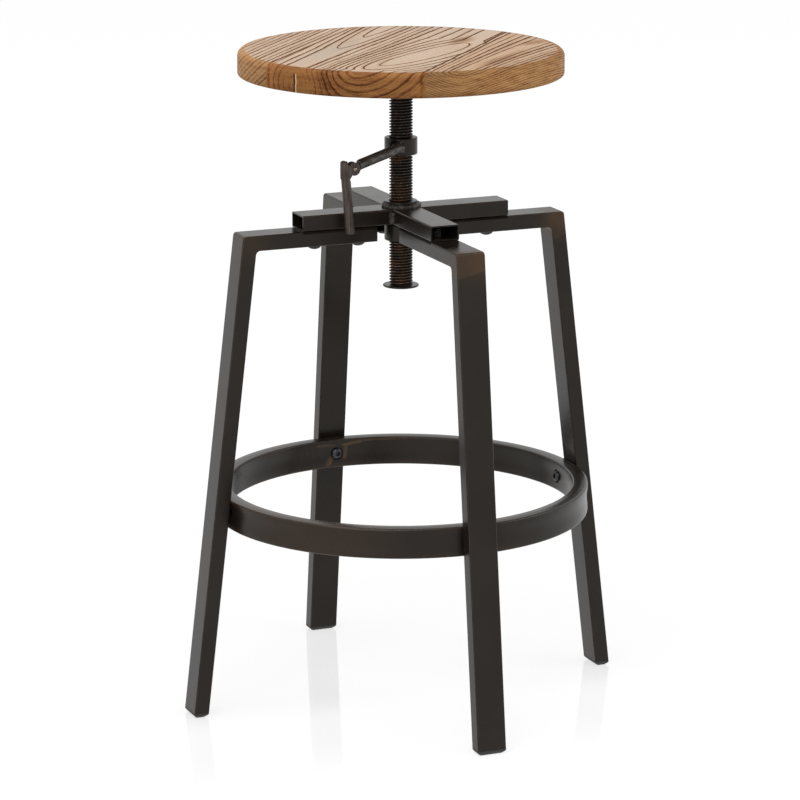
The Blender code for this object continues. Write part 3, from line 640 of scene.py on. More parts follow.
def rounded_box(half_x, half_y, corner, bow=None):
    """Outline about 0, 0, and each point's share of edge wear and painted edge highlight. Bow: how
    far the sides stand out.
    """
    x, y = half_x - corner, half_y - corner
    points, marks = [], []
    for centre, first in (((x, -y), -90), ((x, y), 0), ((-x, y), 90), ((-x, -y), 180)):
        points += arc(centre, corner, first, first + 90, CORNER_STEPS)
        marks += [1.0 - abs(2.0 * i / CORNER_STEPS - 1.0) for i in range(CORNER_STEPS + 1)]
        if bow:
            turn = radians(first + 90)
            out = Vector((cos(turn), sin(turn)))
            reach, half, depth = (half_x, y, bow[0]) if first % 180 else (half_y, x, bow[1])
            for share in [2 * i / BOW_STEPS - 1 for i in range(1, BOW_STEPS)]:
                rise = depth * cos(pi / 2 * share) ** 2
                points.append(tuple(out * (reach + rise) + out.orthogonal() * half * share))
            marks += [0.0] * (BOW_STEPS - 1)
    return points, marks


def rounded_path(before, corner, after, radius):
    """Points of an arc that rounds a corner of a path."""
    to_before, to_after = (before - corner).normalized(), (after - corner).normalized()
    half = to_before.angle(to_after) / 2
    centre = corner + (to_before + to_after).normalized() * (radius / sin(half))
    run = radius / tan(half)
    start, end = corner + to_before * run - centre, corner + to_after * run - centre
    return [centre + start.slerp(end, i / BEND_STEPS) * radius for i in range(BEND_STEPS + 1)]


def rounded_side(radius, bottom, top, under, over=None, steps=EDGE_STEPS):
    """Profile of the side of something round, with its lower and upper edges rounded."""
    over = over or under
    return (arc((radius - under, bottom + under), under, -90, 0, steps[0])
            + arc((radius - over, top - over), over, 0, 90, steps[1]))


def round_bar(radius, bottom, top, *edges):
    return [(0, bottom), *rounded_side(radius, bottom, top, *edges), (0, top)]


def plain_bar(radius, bottom, top):
    """Profile of a round bar with square ends."""
    return [(0, bottom), (radius, bottom), (radius, top), (0, top)]


def dome(radius, base, height):
    """Profile of a dome from its rim to its top."""
    angles = [pi / 2 * i / DOME_STEPS for i in range(DOME_STEPS)]
    rim = [(radius * cos(a), base + height * sin(a)) for a in angles]
    return rim + [(0, base + height)]


def lumps(point, *pairs):
    """Smooth noise at a point, summed from pairs of share and scale."""
    return sum(share * noise.noise(Vector(point) * scale) for share, scale in pairs)


def add_piece(name, mesh, body, slot, material, *replaced):
    mesh.name = name
    mesh.materials.clear()
    mesh.materials.append(material)
    mesh.shade_smooth()
    mesh.set_sharp_from_angle(angle=SHARP_ANGLE)
    piece = bpy.data.objects.new(name, mesh)
    scene.collection.objects.link(piece)
    if slot == "frame_paint":
        piece.modifiers.new("flat_faces", "WEIGHTED_NORMAL").keep_sharp = True
    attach(piece, body)
    if replaced:
        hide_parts(*replaced)


# Frame

def leg_face(inset, height):
    """Distance of a face of the sloping leg from the rod's axis."""
    return FOOT_REACH - LEG_SLOPE * height - inset * hypot(1, LEG_SLOPE)


def leg_path(inset, height, radius):
    start = Vector((LEG_START, 0, height))
    corner = Vector((leg_face(inset, height), 0, height))
    foot = Vector((leg_face(inset, LEG_FOOT), 0, LEG_FOOT))
    bend = rounded_path(start, corner, foot, radius)
    straight = [bend[-1].lerp(foot, i / LEG_RUNS) for i in range(1, LEG_RUNS)]
    return [start, *bend, *straight, foot]


def leg_loops(inset):
    outside = leg_path(inset, LEG_TOP - inset, max(SHOULDER_ROUND - inset, LEAST_ROUND))
    depth = TUBE_DEPTH - inset
    inside = leg_path(depth, LEG_TOP - depth, ARMPIT_ROUND + inset)
    half = TUBE_DEPTH / 2 - inset
    corner = max(TUBE_CORNER - inset, LEAST_ROUND)
    outline, marks = rounded_box(TUBE_WIDTH / 2 - inset, half, corner)
    loops = []
    for outer, inner in zip(outside, inside):
        loop = [(y, outer.lerp(inner, (1 + through / half) / 2)) for y, through in outline]
        loops.append([(point.x, y, point.z) for y, point in loop])
    return loops, marks


def leg_tube():
    outer, marks = leg_loops(0.0)
    return loft(outer, marks=marks, inner=leg_loops(TUBE_WALL)[0])


def foot_cap():
    """Plug with a rounded lower edge, level with the tube's sides."""
    stretch = hypot(1, LEG_SLOPE)
    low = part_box("foot_cap_1")[0].z
    steps = [i / CAP_STEPS for i in range(CAP_STEPS + 1)]
    rows = [(low + CAP_EDGE * t, CAP_EDGE * (1 - t) ** CAP_CURVE) for t in steps]
    loops = []
    for height, inset in rows + [(CAP_TOP, 0.0)]:
        middle = leg_face(TUBE_DEPTH / 2, height)
        outline, _ = rounded_box(TUBE_WIDTH / 2 - inset, TUBE_DEPTH / 2 - inset, TUBE_CORNER)
        loops.append([(middle + through * stretch, y, height) for y, through in outline])
    return loft(loops)


def arm_loops(inset, corner):
    low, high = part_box("cross_arm_1")
    middle = (low.z + high.z) / 2
    outline, marks = rounded_box(TUBE_WIDTH / 2 - inset, TUBE_DEPTH / 2 - inset, corner)
    start = []
    for y, z in outline:
        hub = sqrt(HUB_RADIUS ** 2 - min(abs(y), HUB_RADIUS) ** 2)
        start.append((max(hub, abs(y)) + MITRE_GAP, y, middle + z))
    runs = [low.x + (high.x - low.x) * share for share in ARM_RUNS]
    return [start] + [[(x, y, middle + z) for y, z in outline] for x in runs], marks


def arm_tube():
    """Open tube from the hub outwards, its inner end following the hub."""
    outer, marks = arm_loops(0.0, TUBE_CORNER)
    return loft(outer, marks=marks, inner=arm_loops(TUBE_WALL, LEAST_ROUND)[0])


def ring_tube():
    """Rolled tube with sunk sides and a shallow recess for each bolt."""
    low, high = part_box("foot_ring")
    middle = (low.z + high.z) / 2
    reach = high.x - TUBE_DEPTH / 2 + RING_SPREAD
    outline, marks = rounded_box(TUBE_DEPTH / 2, (high.z - low.z) / 2, RING_CORNER, RING_BOW)
    loops = []
    for x, y, _ in circle(1.0, 0, RING_SEGMENTS):
        loops.append([((reach + out) * x, (reach + out) * y, middle + z) for out, z in outline])
    ring = loft(loops, True, marks)
    start = reach - TUBE_DEPTH / 2 - DIMPLE_CUTTER + DIMPLE_DEPTH
    place = Matrix.Translation((start, 0, middle)) @ spin(pi / 2, "Y")
    for number in range(LEGS):
        dimple = lathe(round_bar(DIMPLE_RADIUS, 0, DIMPLE_CUTTER, DIMPLE_EDGE))
        ring = combined(ring, moved(dimple, spin(tau * number / LEGS) @ place))
    return ring


def sleeve(node, radius, edge):
    """Bored round part with rounded edges, as tall as its node."""
    low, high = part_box(node)
    return lathe([(ROD_BORE, low.z + edge), (ROD_BORE + edge, low.z),
                  *rounded_side(radius, low.z, high.z, edge),
                  (ROD_BORE + edge, high.z), (ROD_BORE, high.z - edge)])


def hub_bead():
    """Weld round the hub on the arms: a row of overlapping beads."""
    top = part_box("cross_arm_1")[1].z
    inside = HUB_RADIUS - BEAD_SINK
    loops = []
    for i in range(BEAD_SEGMENTS):
        turn = tau * i / BEAD_SEGMENTS
        out = Vector((cos(turn), sin(turn), 0))
        ripple = abs(sin(turn * BEAD_RIPPLES / 2 + lumps(out, BEAD_WANDER)))
        swell = 0.86 + 0.12 * ripple + lumps(out, *BEAD_LUMPS)
        wide = BEAD_WIDTH * swell
        tall = BEAD_HEIGHT * (0.84 + 0.12 * swell + lumps(out, BEAD_TOP_LUMP))
        loop = [(inside, top - BEAD_SINK), (HUB_RADIUS + wide, top - BEAD_SINK)]
        for step in range(BEAD_STEPS + 1):
            angle = pi / 2 * step / BEAD_STEPS
            puff = 1.0 + BEAD_PUFF * sin(2 * angle)
            loop.append((HUB_RADIUS + wide * cos(angle) * puff, top + tall * sin(angle) * puff))
        loop.append((inside, top + tall))
        loops.append([tuple(out * x + Vector((0, 0, z))) for x, z in loop])
    return loft(loops, True)


def corner_weld(seed):
    """Upright weld in the corner beside the first arm. The seed gives each its own lumps."""
    low, high = (corner.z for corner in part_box("cross_arm_1"))
    middle = TUBE_WIDTH / 2 * sqrt(2) + SEAM_OUT
    loops = []
    for i in range(SEAM_RUNS + 1):
        share = i / SEAM_RUNS
        height = low + SEAM_MARGIN + (high - low - 2 * SEAM_MARGIN) * share
        end = sqrt(max(1 - (2 * share - 1) ** SEAM_END, SEAM_LEAST))
        ripple = abs(sin(share * pi * SEAM_WAVES + seed))
        loop = []
        for x, y, z in circle(1.0, height, SEAM_SIDES):
            swell = 0.88 + 0.12 * ripple + lumps((x + seed, y, z * SEAM_CLIMB), SEAM_LUMP)
            radius = SEAM_RADIUS * end * swell
            loop.append((middle + radius * x, radius * y * SEAM_WIDE, z))
        loops.append(loop)
    return moved(loft(loops), spin(pi / 4))


def leg_bolt(node):
    """Dome head under the leg's arm and the shank above it."""
    low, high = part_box(node)
    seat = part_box("leg_1")[1].z - TUBE_DEPTH - SKIN
    rim = seat - LEG_HEAD_RIM
    profile = dome(LEG_HEAD_RADIUS, rim, low.z - rim)[::-1]
    profile += [(LEG_HEAD_RADIUS - LEG_HEAD_TAPER, seat), (LEG_SHANK, seat), (LEG_SHANK, high.z),
                (0, high.z)]
    middle = ((low.x + high.x) / 2, (low.y + high.y) / 2, 0)
    return moved(lathe(profile), Matrix.Translation(middle))


def ring_bolt():
    """Button head with a hexagon socket, on the ring's inner face."""
    low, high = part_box("ring_bolt_1")
    face = low.x + RING_HEAD_HEIGHT
    end = high.x - face
    profile = dome(RING_HEAD_RADIUS, -RING_HEAD_RIM, RING_HEAD_RIM - RING_HEAD_HEIGHT)[::-1]
    profile += [(RING_HEAD_RADIUS, 0), (RING_SHANK, 0), (RING_SHANK, end), (0, end)]
    corner = RING_SOCKET / 2 / cos(pi / 6)
    socket = lathe(plain_bar(corner, -CUTTER_REACH, RING_SOCKET_FLOOR), 6)
    place = (face + DIMPLE_DEPTH - RING_SPREAD, 0, (low.z + high.z) / 2)
    return moved(combined(lathe(profile), socket), Matrix.Translation(place) @ spin(pi / 2, "Y"))


# Screw and crank

def rod_thread():
    """The rod with its right-hand thread."""
    low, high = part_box("threaded_rod")
    turns = ceil((high.z - low.z) / THREAD_PITCH) + 2
    shape = bmesh.new()
    layer = shape.verts.layers.float.new("edge")
    columns = []
    for k, (x, y, _) in enumerate(circle(1.0, 0, THREAD_SEGMENTS)):
        column = []
        for n in range(turns + 1):
            for share, crest in THREAD_PROFILE:
                radius = ROD_RADIUS - THREAD_DEPTH * (1 - crest)
                turn = n - THREAD_START + k / THREAD_SEGMENTS + share
                vertex = shape.verts.new((radius * x, radius * y, low.z + turn * THREAD_PITCH))
                vertex[layer] = crest
                column.append(vertex)
        columns.append(column)
    columns.append(columns[0][len(THREAD_PROFILE):])
    for column, after in zip(columns, columns[1:]):
        for i in range(min(len(column), len(after)) - 1):
            shape.faces.new((column[i], after[i], after[i + 1], column[i + 1]))
    for height, side in ((low.z, -1), (high.z, 1)):
        cut_off(shape, Vector((0, 0, height)), Vector((0, 0, side)))
    return finish_mesh(shape)


def stop_plate():
    low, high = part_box("stop_disc")
    return lathe(round_bar(high.x, low.z, high.z, (high.z - low.z) * STOP_EDGE))


def crank_place():
    """Frame of the crank arm: +X along the bar, drooping, from its weld on the collar."""
    low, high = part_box("lock_collar")
    return (Matrix.Translation((0, 0, (low.z + high.z) / 2)) @ spin(CRANK_BEARING)
            @ Matrix.Translation((high.x + CRANK_RADIUS, 0, 0)) @ spin(CRANK_TURN)
            @ spin(CRANK_DROOP, "Y"))


def handle_place():
    """Frame of the handle: its origin on the rivet, +Y along the rivet."""
    eye = crank_place() @ Vector((CRANK_LENGTH, 0, 0))
    return Matrix.Translation(eye) @ spin(CRANK_BEARING + CRANK_TURN)


def plate(outline, half, middle=0.0):
    """Solid with an outline of x and z, from -half to half in y."""
    return loft([[(middle + x, y, z) for x, z in outline] for y in (-half, half)])


def rivet_hole(half, middle=0.0):
    return plate(arc((0, 0), RIVET_RADIUS + FORK_GAP, *HOLE_ARC), half, middle)


def crank_bar():
    """Round bar that flattens into the eye for the rivet."""
    neck = CRANK_LENGTH - EAR_RADIUS - FORK_GAP
    stations = [*BAR_START, *((neck * share, 1.0, 1.0) for share in BAR_RUNS),
                *((neck + x, wide, tall) for x, wide, tall in BAR_NECK)]
    ring = circle(BAR_RADIUS, 0, ROUND_SEGMENTS)
    bar = loft([[(x, y * wide, BAR_LIFT + z * tall) for y, z, _ in ring]
                for x, wide, tall in stations])
    back, side = (EYE_RADIUS * share for share in EYE_TAIL)
    outline = arc((0, 0), EYE_RADIUS, *EYE_ARC) + [(-back, side), (-back, -side)]
    bar = combined(bar, plate(outline, EYE_HALF, CRANK_LENGTH), "UNION")
    bar = moved(combined(bar, rivet_hole(CRANK_RADIUS, CRANK_LENGTH)), crank_place())
    low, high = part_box("lock_collar")
    collar = plain_bar(high.x + SKIN, low.z - CUTTER_REACH, high.z + CUTTER_REACH)
    return combined(bar, lathe(collar))


def crank_weld():
    """Lumpy weld round the end of the crank arm and along both its sides, on the collar."""
    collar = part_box("lock_collar")[1].x + SKIN
    shape = bmesh.new()
    for centre, reach in WELD_BLOBS:
        start = len(shape.verts)
        bmesh.ops.create_icosphere(shape, subdivisions=BLOB_FINENESS, radius=1.0)
        shape.verts.ensure_lookup_table()
        middle = Vector(centre)
        for vertex in shape.verts[start:]:
            lump = lumps(vertex.co + middle * BLOB_SPREAD, BLOB_LUMP) + lumps(vertex.co, BLOB_GRAIN)
            vertex.co = middle + Vector([r * c * (1.0 + lump) for r, c in zip(reach, vertex.co)])
    mesh = moved(finish_mesh(shape), crank_place())
    for vertex in mesh.vertices:
        flat = vertex.co.to_2d()
        if flat.length < collar:
            vertex.co = (*flat.normalized() * collar, vertex.co.z)
    return mesh


def handle_bar():
    """Round handle with a slotted, flattened head whose two ears hold the eye."""
    base = EYE_RADIUS + FORK_GAP + HANDLE_RADIUS
    loops = []
    for height, swell, shift in HANDLE_STATIONS:
        offset = base + shift - max(-height - HANDLE_FORK, 0.0) * tan(HANDLE_LEAN)
        ring = circle(HANDLE_RADIUS * swell, height, ROUND_SEGMENTS)
        loops.append([(offset + x, y, z) for x, y, z in ring])
    corners = [(base + x, y) for x, y in NOTCH_OUTLINE]
    notch = loft([[(x, y, z) for x, y in corners] for z in (NOTCH_FLOOR, CUTTER_REACH)])
    bar = combined(loft(loops), notch)
    outline = arc((0, 0), EAR_RADIUS, *EAR_ARC) + [(base + x, z) for x, z in EAR_ROOT]
    start = EYE_HALF + FORK_GAP
    for side in (-1, 1):
        ear = loft([[(x * grow, side * (start + y), z * grow) for x, z in outline]
                    for y, grow in EAR_ROWS])
        bar = combined(bar, ear, "UNION")
    return moved(combined(bar, rivet_hole(CUTTER_REACH)), handle_place())


def rivet():
    half = EYE_HALF + FORK_GAP + EAR_THICKNESS + SKIN
    profile = [*dome(RIVET_HEAD_RADIUS, -half, -RIVET_HEAD_HEIGHT)[::-1], (RIVET_RADIUS, -half),
               (RIVET_RADIUS, half), *dome(RIVET_HEAD_RADIUS, half, RIVET_HEAD_HEIGHT)]
    return moved(lathe(profile), handle_place() @ spin(pi / 2, "X"))


# Seat

def seat_board(low, high):
    """Slice of the turned seat between two glue lines."""
    bottom, top = (corner.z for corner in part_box("seat_board_middle"))
    mesh = lathe(round_bar(SEAT_RADIUS, bottom, top, *SEAT_EDGES), SEAT_SEGMENTS)
    shape = bmesh.new()
    shape.from_mesh(mesh)
    bpy.data.meshes.remove(mesh)
    for place, side in ((low, -1), (high, 1)):
        if abs(place) < SEAT_RADIUS:
            cut_off(shape, Vector((0, place - side * GLUE_GAP, 0)), Vector((0, side, 0)))
    return moved(finish_mesh(shape), spin(BOARD_TURN))


# Wood

def length(first, *others):
    return sum((other * other for other in others), first * first).sqrt()


def left_rings(along, across, up):
    return (across - up * 1.2) / 6.7 + along * 0.0012


def middle_rings(along, across, up):
    """Growth rings about a heart inside the board's left half and a lens on its right half."""
    depth = (14.55 - along * 0.0767).least(16.5).most(2.0)
    left = length(across - HEART, up + depth) / (along * 0.003 + 6.75) - 0.40
    off = across - ((along + 115.0).least(175.0) * 0.2 + 18.0)
    bulge = (along + 30.0) / 85.0
    edge = ((1.0 - bulge * bulge) * 196.0).most(along.step(-60.0, 0.0) * 70.0 - 170.0)
    right = ((edge + 196.0).sqrt() - length(off - off.most(0.0) * 0.26, 14.0 - up)) / 6.9 + 12.0
    return left + (right - left) * off.step(-72.0, -10.0)


def right_rings(along, across, up):
    """Rings that dip under the board's middle and rise to both of its sides."""
    lean = along * (across - 75.0) * 0.0022
    off = (across - 113.0 - lean) * 0.37
    return ((off * off + 9.0).sqrt() - up) / 2.4


def oval(along, across, middle, reach):
    """1 in the middle of an oval patch, 0 outside it."""
    return length((along - middle[0]) / reach[0], (across - middle[1]) / reach[1]).fade(0.2, 1.0)


def board_lines(kit):
    """Millimetres along the boards, across them and above the seat's top."""
    x, y, z = kit.split(kit.place)
    along, across = turned(x, y, BOARD_TURN)
    return [line * MM for line in (along, across, z - SEAT_TOP)]


def board_noises(kit, lines):
    """Noises of the wood by name, from -0.5 to 0.5."""
    waves = {}
    for name, (rates, *rest) in WOOD_NOISES.items():
        axes = {i: line * rate for i, (line, rate) in enumerate(zip(lines, rates))}
        waves[name] = kit.noise(1.0, *rest, at=kit.wire("CombineXYZ", 0, axes)) - 0.5
    return waves


def growth_lines(kit, rings, lines, waves, rim):
    """Place among the rings, dark line at a ring's end, halo before it, and the ring's chance."""
    along, across, up = lines
    base = rings(along, across, up)
    climb = [rings(along + 1.0, across, up) - base, rings(along, across + 1.0, up) - base,
             (rings(along, across, up + 1.0) - base) * rim]
    slope = length(*climb).most(0.02)
    stray = waves["sway"] * 3.0 + waves["fine"] * 1.8
    index = base + stray * slope.least(0.16 + rim * 0.16)
    chance = kit.white(index.floor())
    wide = (slope.power(-1.0) * 0.31).least(2.1) * (0.75 + chance * 0.5)
    behind = index.fract() / slope / wide
    before = (1.0 - index.fract()) / slope / wide
    line = behind.fade(0.05, 0.42).most(before.fade(0.12, 0.95))
    return index, line, before.fade(0.2, 2.5), chance


def wood(name, rings, stains, shift, end, painted_band_shading, joints=(), warm=False, pale=None, crack=False):
    """Brushed wood: growth rings on the top, end grain on the rim."""
    kit = Kit(name)
    lines = along, across, up = board_lines(kit)
    waves = board_noises(kit, lines)
    facing = kit.split(kit.wire("NewGeometry", "Normal"))[2]
    rim = (length(along, across) + waves["fine"] * RIM_WANDER).step(*RIM_SPAN)
    rim = rim.most(facing.fade(0.3, 0.9))
    index, line, halo, chance = growth_lines(kit, rings, lines, waves, rim)
    strong = (0.42 + chance * 0.58) * waves["patch"].step(-0.38, -0.14) * (1.0 - rim * 0.55)
    if crack:
        strong = strong * (1.0 - rim * (across - HEART).abs().fade(*HEART_CALM) * 0.6)
    for place in joints:
        line = line.most((across - place + waves["sway"] * 4.0).abs().fade(0.5, 2.0))
    groove = line * strong
    thin = ((index * 3.0).fract() - 0.5).abs().fade(0.08, 0.40)
    tone = groove * 1.35 + halo * strong * 0.42 + waves["fibre"] * 0.75 + waves["shade"] * 0.50
    tone = tone + (thin * 0.24 + waves["pores"] * 0.85 + waves["blotch"] * 0.95) * rim + shift
    for middle, reach, lean, depth in stains:
        place = across - (along - middle[0]) * lean + waves["sway"] * 14.0
        tone = tone + oval(along, place, middle, reach) * depth
    top_colour = kit.ramp(tone.most(0.0), WOOD_TOP)
    # a greyer oval patch on the top
    if pale:
        top_colour = kit.tint(oval(along, across, *pale), top_colour, WOOD_GREY)
    if warm:
        top_colour = kit.tint(1.0, top_colour, WOOD_WARM)
    stops = [(at, [part * more for part, more in zip(colour, end)]) for at, colour in WOOD_END]
    end_colour = kit.ramp((tone * 0.95 + 0.05).most(0.0), stops)
    # painted shade on the lowest part of the rim
    low = up.fade(*END_UNDER_SHADE_SPAN) * facing.abs().fade(0.5, 0.9) * 0.5
    # painted shade on the rim near the middle across the boards
    for share, by in ((across.abs().fade(*END_PAINTED_SHADE_SPAN), END_PAINTED_SHADE), (low, END_UNDER_SHADE),
                      # the band facing up at the rim's top: painted light above 1, painted shade
                      # below 1
                      (facing.step(0.05, 0.6), [painted_band_shading] * 3)):
        end_colour = kit.tint(share, end_colour, by)
    colour = kit.mix(rim, top_colour, end_colour)
    if crack:
        place = across - HEART + waves["fine"] * 1.6
        near = rim * along.fade(*CRACK_ALONG) * up.fade(*CRACK_UP)
        colour = kit.mix(near * (place + CRACK_OFFSET).abs().fade(0.7, 1.5), colour, CRACK_SHADOW)
        colour = kit.mix(near * (place - CRACK_OFFSET).abs().fade(0.5, 1.0), colour, CRACK_LIGHT)
    return kit.finish(colour=colour, rough=0.52 + groove * 0.30 + rim * 0.06,
                      specular=(0.10 - groove * 0.09 - rim * 0.02).most(0.01),
                      normal=kit.bump(waves["fibre"] * 0.35 - groove * 0.8, 0.35, 0.0006))


# Stains: middle, reach, lean and depth
# painted_band_shading: painted light (above 1) or painted shade (below 1) on the rim's upward band
BOARDS = {
    "left": {"rings": left_rings, "stains": [((20.0, -150.0), (120.0, 26.0), 0.0, 0.10)],
             "shift": 0.02, "end": (1.88, 2.24, 3.05), "painted_band_shading": 1.0},
    "middle": {"rings": middle_rings,
               "stains": [((72.0, 42.0), (40.0, 15.0), 0.1, 0.45),
                          ((-166.0, -25.0), (16.0, 24.0), 0.0, 0.26)],
               "shift": 0.03, "end": (1.70, 1.62, 1.64), "painted_band_shading": 1.06, "joints": (-94.0, 70.0),
               "pale": ((-40.0, -62.0), (150.0, 24.0)), "crack": True},
    "right": {"rings": right_rings,
              "stains": [((-40.0, 115.0), (95.0, 12.0), 0.1, 0.38),
                         ((82.0, 119.0), (34.0, 13.0), 0.2, 0.40)],
              "shift": 0.05, "end": (1.92, 2.24, 2.80), "painted_band_shading": 0.72, "warm": True},
}


# Metal and plastic

def smear(x, z, start, end, width):
    """1 along a straight smear between two points in millimetres, fading out over its width."""
    x, z = x - start[0], z - start[1]
    long, tall = end[0] - start[0], end[1] - start[1]
    share = ((x * long + z * tall) / (long ** 2 + tall ** 2)).most(0.0).least(1.0)
    return length(x - share * long, z - share * tall).fade(width * 0.25, width)


def ring_marks(kit, colour, smudge):
    """Rusty streaks by a bolt, worn rims and a brown patch on the foot ring."""
    x, y, z = kit.split(kit.place)
    height = (z - RING_MIDDLE) * MM + smudge * 3.0
    marks = 0.0
    for start, end, width, depth in RING_STREAKS:
        marks = (smear(x * MM, height, start, end, width) * depth).most(marks)
    colour = kit.mix(marks * y.step(*RING_INSIDE) * smudge.step(-0.20, 0.08), colour, PAINT_RUST)
    rims = height.abs().step(*RING_EDGES) * kit.noise(*RIM_CLOUD).step(0.40, 0.62)
    brown = length(x - RING_PATCH[0], y - RING_PATCH[1]).fade(*RING_PATCH_SPAN)
    return kit.mix((rims * x.fade(*RING_CLEAN) * 0.5).most(brown * 0.45), colour, PAINT_BRONZE)


def frame_paint(name, streaks=False, shade_spot=None):
    """Dark bronze paint, rubbed brown at the legs' shoulders and along the tubes' corners, where
    the rubbed line is also a painted highlight. Painted shade in the gap under the arms and on a
    spot of the collar.
    """
    kit = Kit(name)
    x, y, z = kit.split(kit.place)
    cloud = kit.noise(*CLOUD)
    smudge = kit.noise(*SMUDGE) - 0.5
    colour = kit.mix(cloud.step(0.3, 0.7), PAINT_DARK, PAINT_LIGHT)
    out = x.abs().most(y.abs())
    fall = (LEG_SHOULDER - out).most(LEG_TOP - z)
    soft = (fall + smudge * 0.024).fade(*BRONZE_SOFT) * (x.step(*RIGHT_LEG) * 0.40 + 0.42)
    hard = (fall + x * BRONZE_LEAN + smudge * 0.012).fade(*BRONZE_HARD)
    bronze = soft.most(hard * (y * -1.0).step(*FRONT_LEG) * 0.9)
    copper = (x + smudge * 0.05).step(*COPPER_SPAN)
    colour = kit.mix(bronze, colour, kit.mix(copper, PAINT_BRONZE, PAINT_COPPER))
    # painted shade: no sheen in the gap between the leg and its arm
    painted_shade = (z - GAP_SHADE_HEIGHT).abs().fade(*GAP_SHADE_SPAN) * (out - ARM_END).fade(*GAP_SHADE_END)
    arms = z.step(LEG_TOP, LEG_TOP + RUB_HIGHLIGHT_FADE)
    # rubbed line along the corners: wear and a painted highlight, strongest on the arms
    rub_and_highlight = kit.edge().step(0.25, 0.95) * (1.0 - painted_shade)
    rub_and_highlight = rub_and_highlight * (smudge.step(-0.10, 0.12) * 0.6 + arms * 0.9)
    colour = kit.mix((rub_and_highlight * 0.6).least(1.0), colour, PAINT_RUBBED_HIGHLIGHT)
    if streaks:
        colour = ring_marks(kit, colour, smudge)
    # painted shade: a dark spot without sheen on the collar by the weld
    if shade_spot:
        far = length(x - shade_spot.x, y - shade_spot.y, z - shade_spot.z) + smudge * 0.003
        spot_shade = far.fade(*SHADE_SPOT_SPAN)
        colour = kit.mix(spot_shade, colour, PAINT_SHADE_SPOT)
        painted_shade = painted_shade.most(spot_shade)
    return kit.finish(colour=colour, rough=0.23 + cloud * 0.10 + rub_and_highlight * 0.12 + bronze * 0.10,
                      ior=PAINT_IOR, specular=0.5 - painted_shade * 0.45, tint=PAINT_TINT,
                      normal=kit.bump(kit.noise(*GRIT) * 0.4 + smudge * 0.6, 0.10, 0.0004))


def collar_shade_spot():
    """Where a spot of painted shade darkens the collar beside the crank's weld."""
    low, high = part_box("lock_collar")
    return Vector((high.x * cos(SHADE_SPOT_BEARING), high.x * sin(SHADE_SPOT_BEARING),
                   low.z + (high.z - low.z) * SHADE_SPOT_HEIGHT))


def weld_paint():
    kit = Kit("weld_paint")
    lump = kit.noise(*WELD_LUMP)
    colour = kit.mix(kit.noise(*WELD_CLOUD).step(0.35, 0.65), PAINT_DARK, PAINT_WELD)
    return kit.finish(colour=colour, rough=0.34 + lump * 0.14, ior=WELD_IOR,
                      normal=kit.bump(lump, 0.35, 0.0008))


def thread_steel():
    """Blackened thread, rubbed to brown on its crests, which are lightened as a painted highlight
    too, with painted glints.
    """
    kit = Kit("thread_steel")
    x, y, _ = kit.split(kit.place)
    crest = kit.edge().step(0.45, 1.0)
    patch = kit.noise(*THREAD_PATCH)
    speck = kit.noise(*THREAD_SPECK)
    side = (x * RUST_SIDE[0] + y * RUST_SIDE[1]) / ROD_RADIUS
    rust = side.step(-0.2, 0.8) * patch.step(0.35, 0.60)
    glint = kit.noise(*THREAD_SPARK).step(0.55, 0.68) * crest
    # crests: rubbed brown and a painted highlight
    colour = kit.mix(crest * (0.25 + patch * 0.5), THREAD_DARK, THREAD_CREST_HIGHLIGHT)
    colour = kit.mix(rust * (0.25 + crest * 0.65), colour, THREAD_RUST)
    colour = kit.mix(glint * (0.35 + rust * 0.5), colour, THREAD_GLINT)
    return kit.finish(colour=colour, rough=0.42 + speck * 0.22, ior=THREAD_IOR,
                      specular=0.12 + crest * 0.5, normal=kit.bump(speck, 0.2, 0.0005))


def worn_steel(name, dark, light, rust, shine, stretch):
    """Handled steel: scratches, stretched along it, scuffs and brown in the dull patches."""
    kit = Kit(name)
    along = kit.wire("Mapping", 0, {"Vector": kit.place, "Scale": stretch})
    scratch = kit.noise(*WORN_SCRATCH, at=along)
    patch = kit.noise(*WORN_PATCH)
    colour = kit.mix(scratch.step(0.35, 0.7), dark, light)
    colour = kit.mix(patch.step(0.42, 0.70) * 0.7, colour, rust)
    return kit.finish(colour=colour, rough=0.34 + patch * 0.16,
                      metal=patch.step(0.75, 0.30) * 0.35 + shine,
                      normal=kit.bump(scratch, 0.15, 0.0004))


def bolt_steel(name, colour, shine):
    kit = Kit(name)
    patch = kit.noise(*BOLT_PATCH)
    tone = kit.mix(patch.step(0.3, 0.7), colour, [value * BOLT_LIGHT for value in colour])
    return kit.finish(colour=tone, rough=0.28 + patch * 0.18, metal=shine,
                      normal=kit.bump(kit.noise(*GRIT), 0.12, 0.0003))


def cap_plastic():
    kit = Kit("cap_plastic")
    scuff = kit.noise(*CAP_SCUFF)
    colour = kit.mix(scuff.step(0.45, 0.75), CAP_DARK, CAP_SCUFFED)
    return kit.finish(colour=colour, rough=0.46 + scuff * 0.2,
                      normal=kit.bump(kit.noise(*CAP_GRAIN), 0.2, 0.0003))


# Assembly

def dress_nodes(paint, bolt, bright):
    """Looks of the nodes that stay in sight or inside, because no piece replaces them."""
    special = {"stop_screw": bolt, "ring_insert": bolt, "seat_screw": bright,
               # the arms' nuts are near black: painted shade inside the tubes
               "arm_nut": bolt_steel("nut_shaded_steel", *NUT_SHADED_STEEL)}
    for name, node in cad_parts.items():
        finish = next((look for start, look in special.items() if name.startswith(start)), paint)
        for slot in node.material_slots:
            slot.material = finish


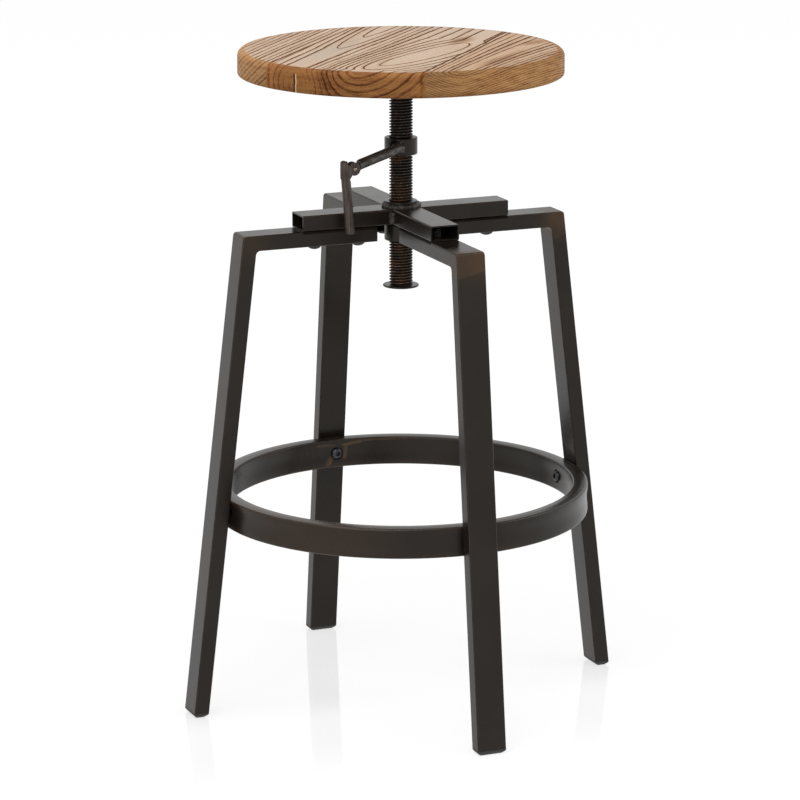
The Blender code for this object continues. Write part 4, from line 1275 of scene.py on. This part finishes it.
def add_frame(paint, weld, bolt):
    ring_paint = frame_paint("ring_paint", streaks=True)
    socket = bolt_steel("socket_steel", *SOCKET_STEEL)
    plastic = cap_plastic()
    hub = sleeve("hub_sleeve", HUB_RADIUS, HUB_EDGE)
    add_piece("hub_boss", hub, "base", "frame_paint", paint, "hub_sleeve")
    add_piece("hub_bead", hub_bead(), "base", "frame_paint", weld)
    add_piece("ring_tube", ring_tube(), "base", "frame_paint", ring_paint, "foot_ring")
    for i in range(1, LEGS + 1):
        turn = tau * (i - 1) / LEGS
        for name, mesh, *look in (
                (f"leg_{i}_tube", leg_tube(), "frame_paint", paint, f"leg_{i}"),
                (f"cap_{i}", foot_cap(), "cap_plastic", plastic, f"foot_cap_{i}"),
                (f"arm_{i}_tube", arm_tube(), "frame_paint", paint, f"cross_arm_{i}"),
                (f"arm_weld_{i}", corner_weld(turn + pi / 4), "frame_paint", weld),
                (f"ring_bolt_{i}_button", ring_bolt(), "bolt_steel", socket, f"ring_bolt_{i}")):
            add_piece(name, moved(mesh, spin(turn)), "base", *look)
        for node in (f"leg_bolt_{i}_inner", f"leg_bolt_{i}_outer"):
            add_piece(f"{node}_dome", leg_bolt(node), "base", "bolt_steel", bolt, node)


def add_screw_and_crank(paint, weld, bright):
    thread = thread_steel()
    collar_shaded = frame_paint("collar_paint", shade_spot=collar_shade_spot())
    crank = worn_steel("crank_steel", **CRANK_STEEL)
    handle = worn_steel("handle_steel", **HANDLE_STEEL)
    collar = sleeve("lock_collar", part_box("lock_collar")[1].x, COLLAR_EDGE)
    add_piece("rod_thread", rod_thread(), "seat", "thread_steel", thread, "threaded_rod")
    add_piece("stop_plate", stop_plate(), "lift", "frame_paint", paint, "stop_disc")
    add_piece("collar_ring", collar, "crank", "frame_paint", collar_shaded, "lock_collar")
    add_piece("crank_bar", crank_bar(), "crank", "frame_paint", crank, "crank_arm")
    add_piece("crank_weld", crank_weld(), "crank", "frame_paint", weld)
    add_piece("handle_bar", handle_bar(), "handle", "handle_steel", handle, "crank_handle")
    add_piece("rivet", rivet(), "handle", "plain_steel", bright, "handle_rivet")


def add_seat():
    edges = (SEAT_RADIUS, LEFT_GLUE, RIGHT_GLUE, -SEAT_RADIUS)
    for (side, look), high, low in zip(BOARDS.items(), edges, edges[1:]):
        add_piece(f"board_{side}", seat_board(low, high), "seat", "seat_wood",
                  wood(f"wood_{side}", **look), f"seat_board_{side}")


paint = frame_paint("frame_paint")
weld = weld_paint()
bolt = bolt_steel("bolt_steel", *BOLT_STEEL)
bright = bolt_steel("plain_steel", *PLAIN_STEEL)
dress_nodes(paint, bolt, bright)
add_frame(paint, weld, bolt)
add_screw_and_crank(paint, weld, bright)
add_seat()

make_camera()
make_world()
make_floor()
for name, lamp in SOFTBOXES.items():
    make_lamp(name, *lamp)
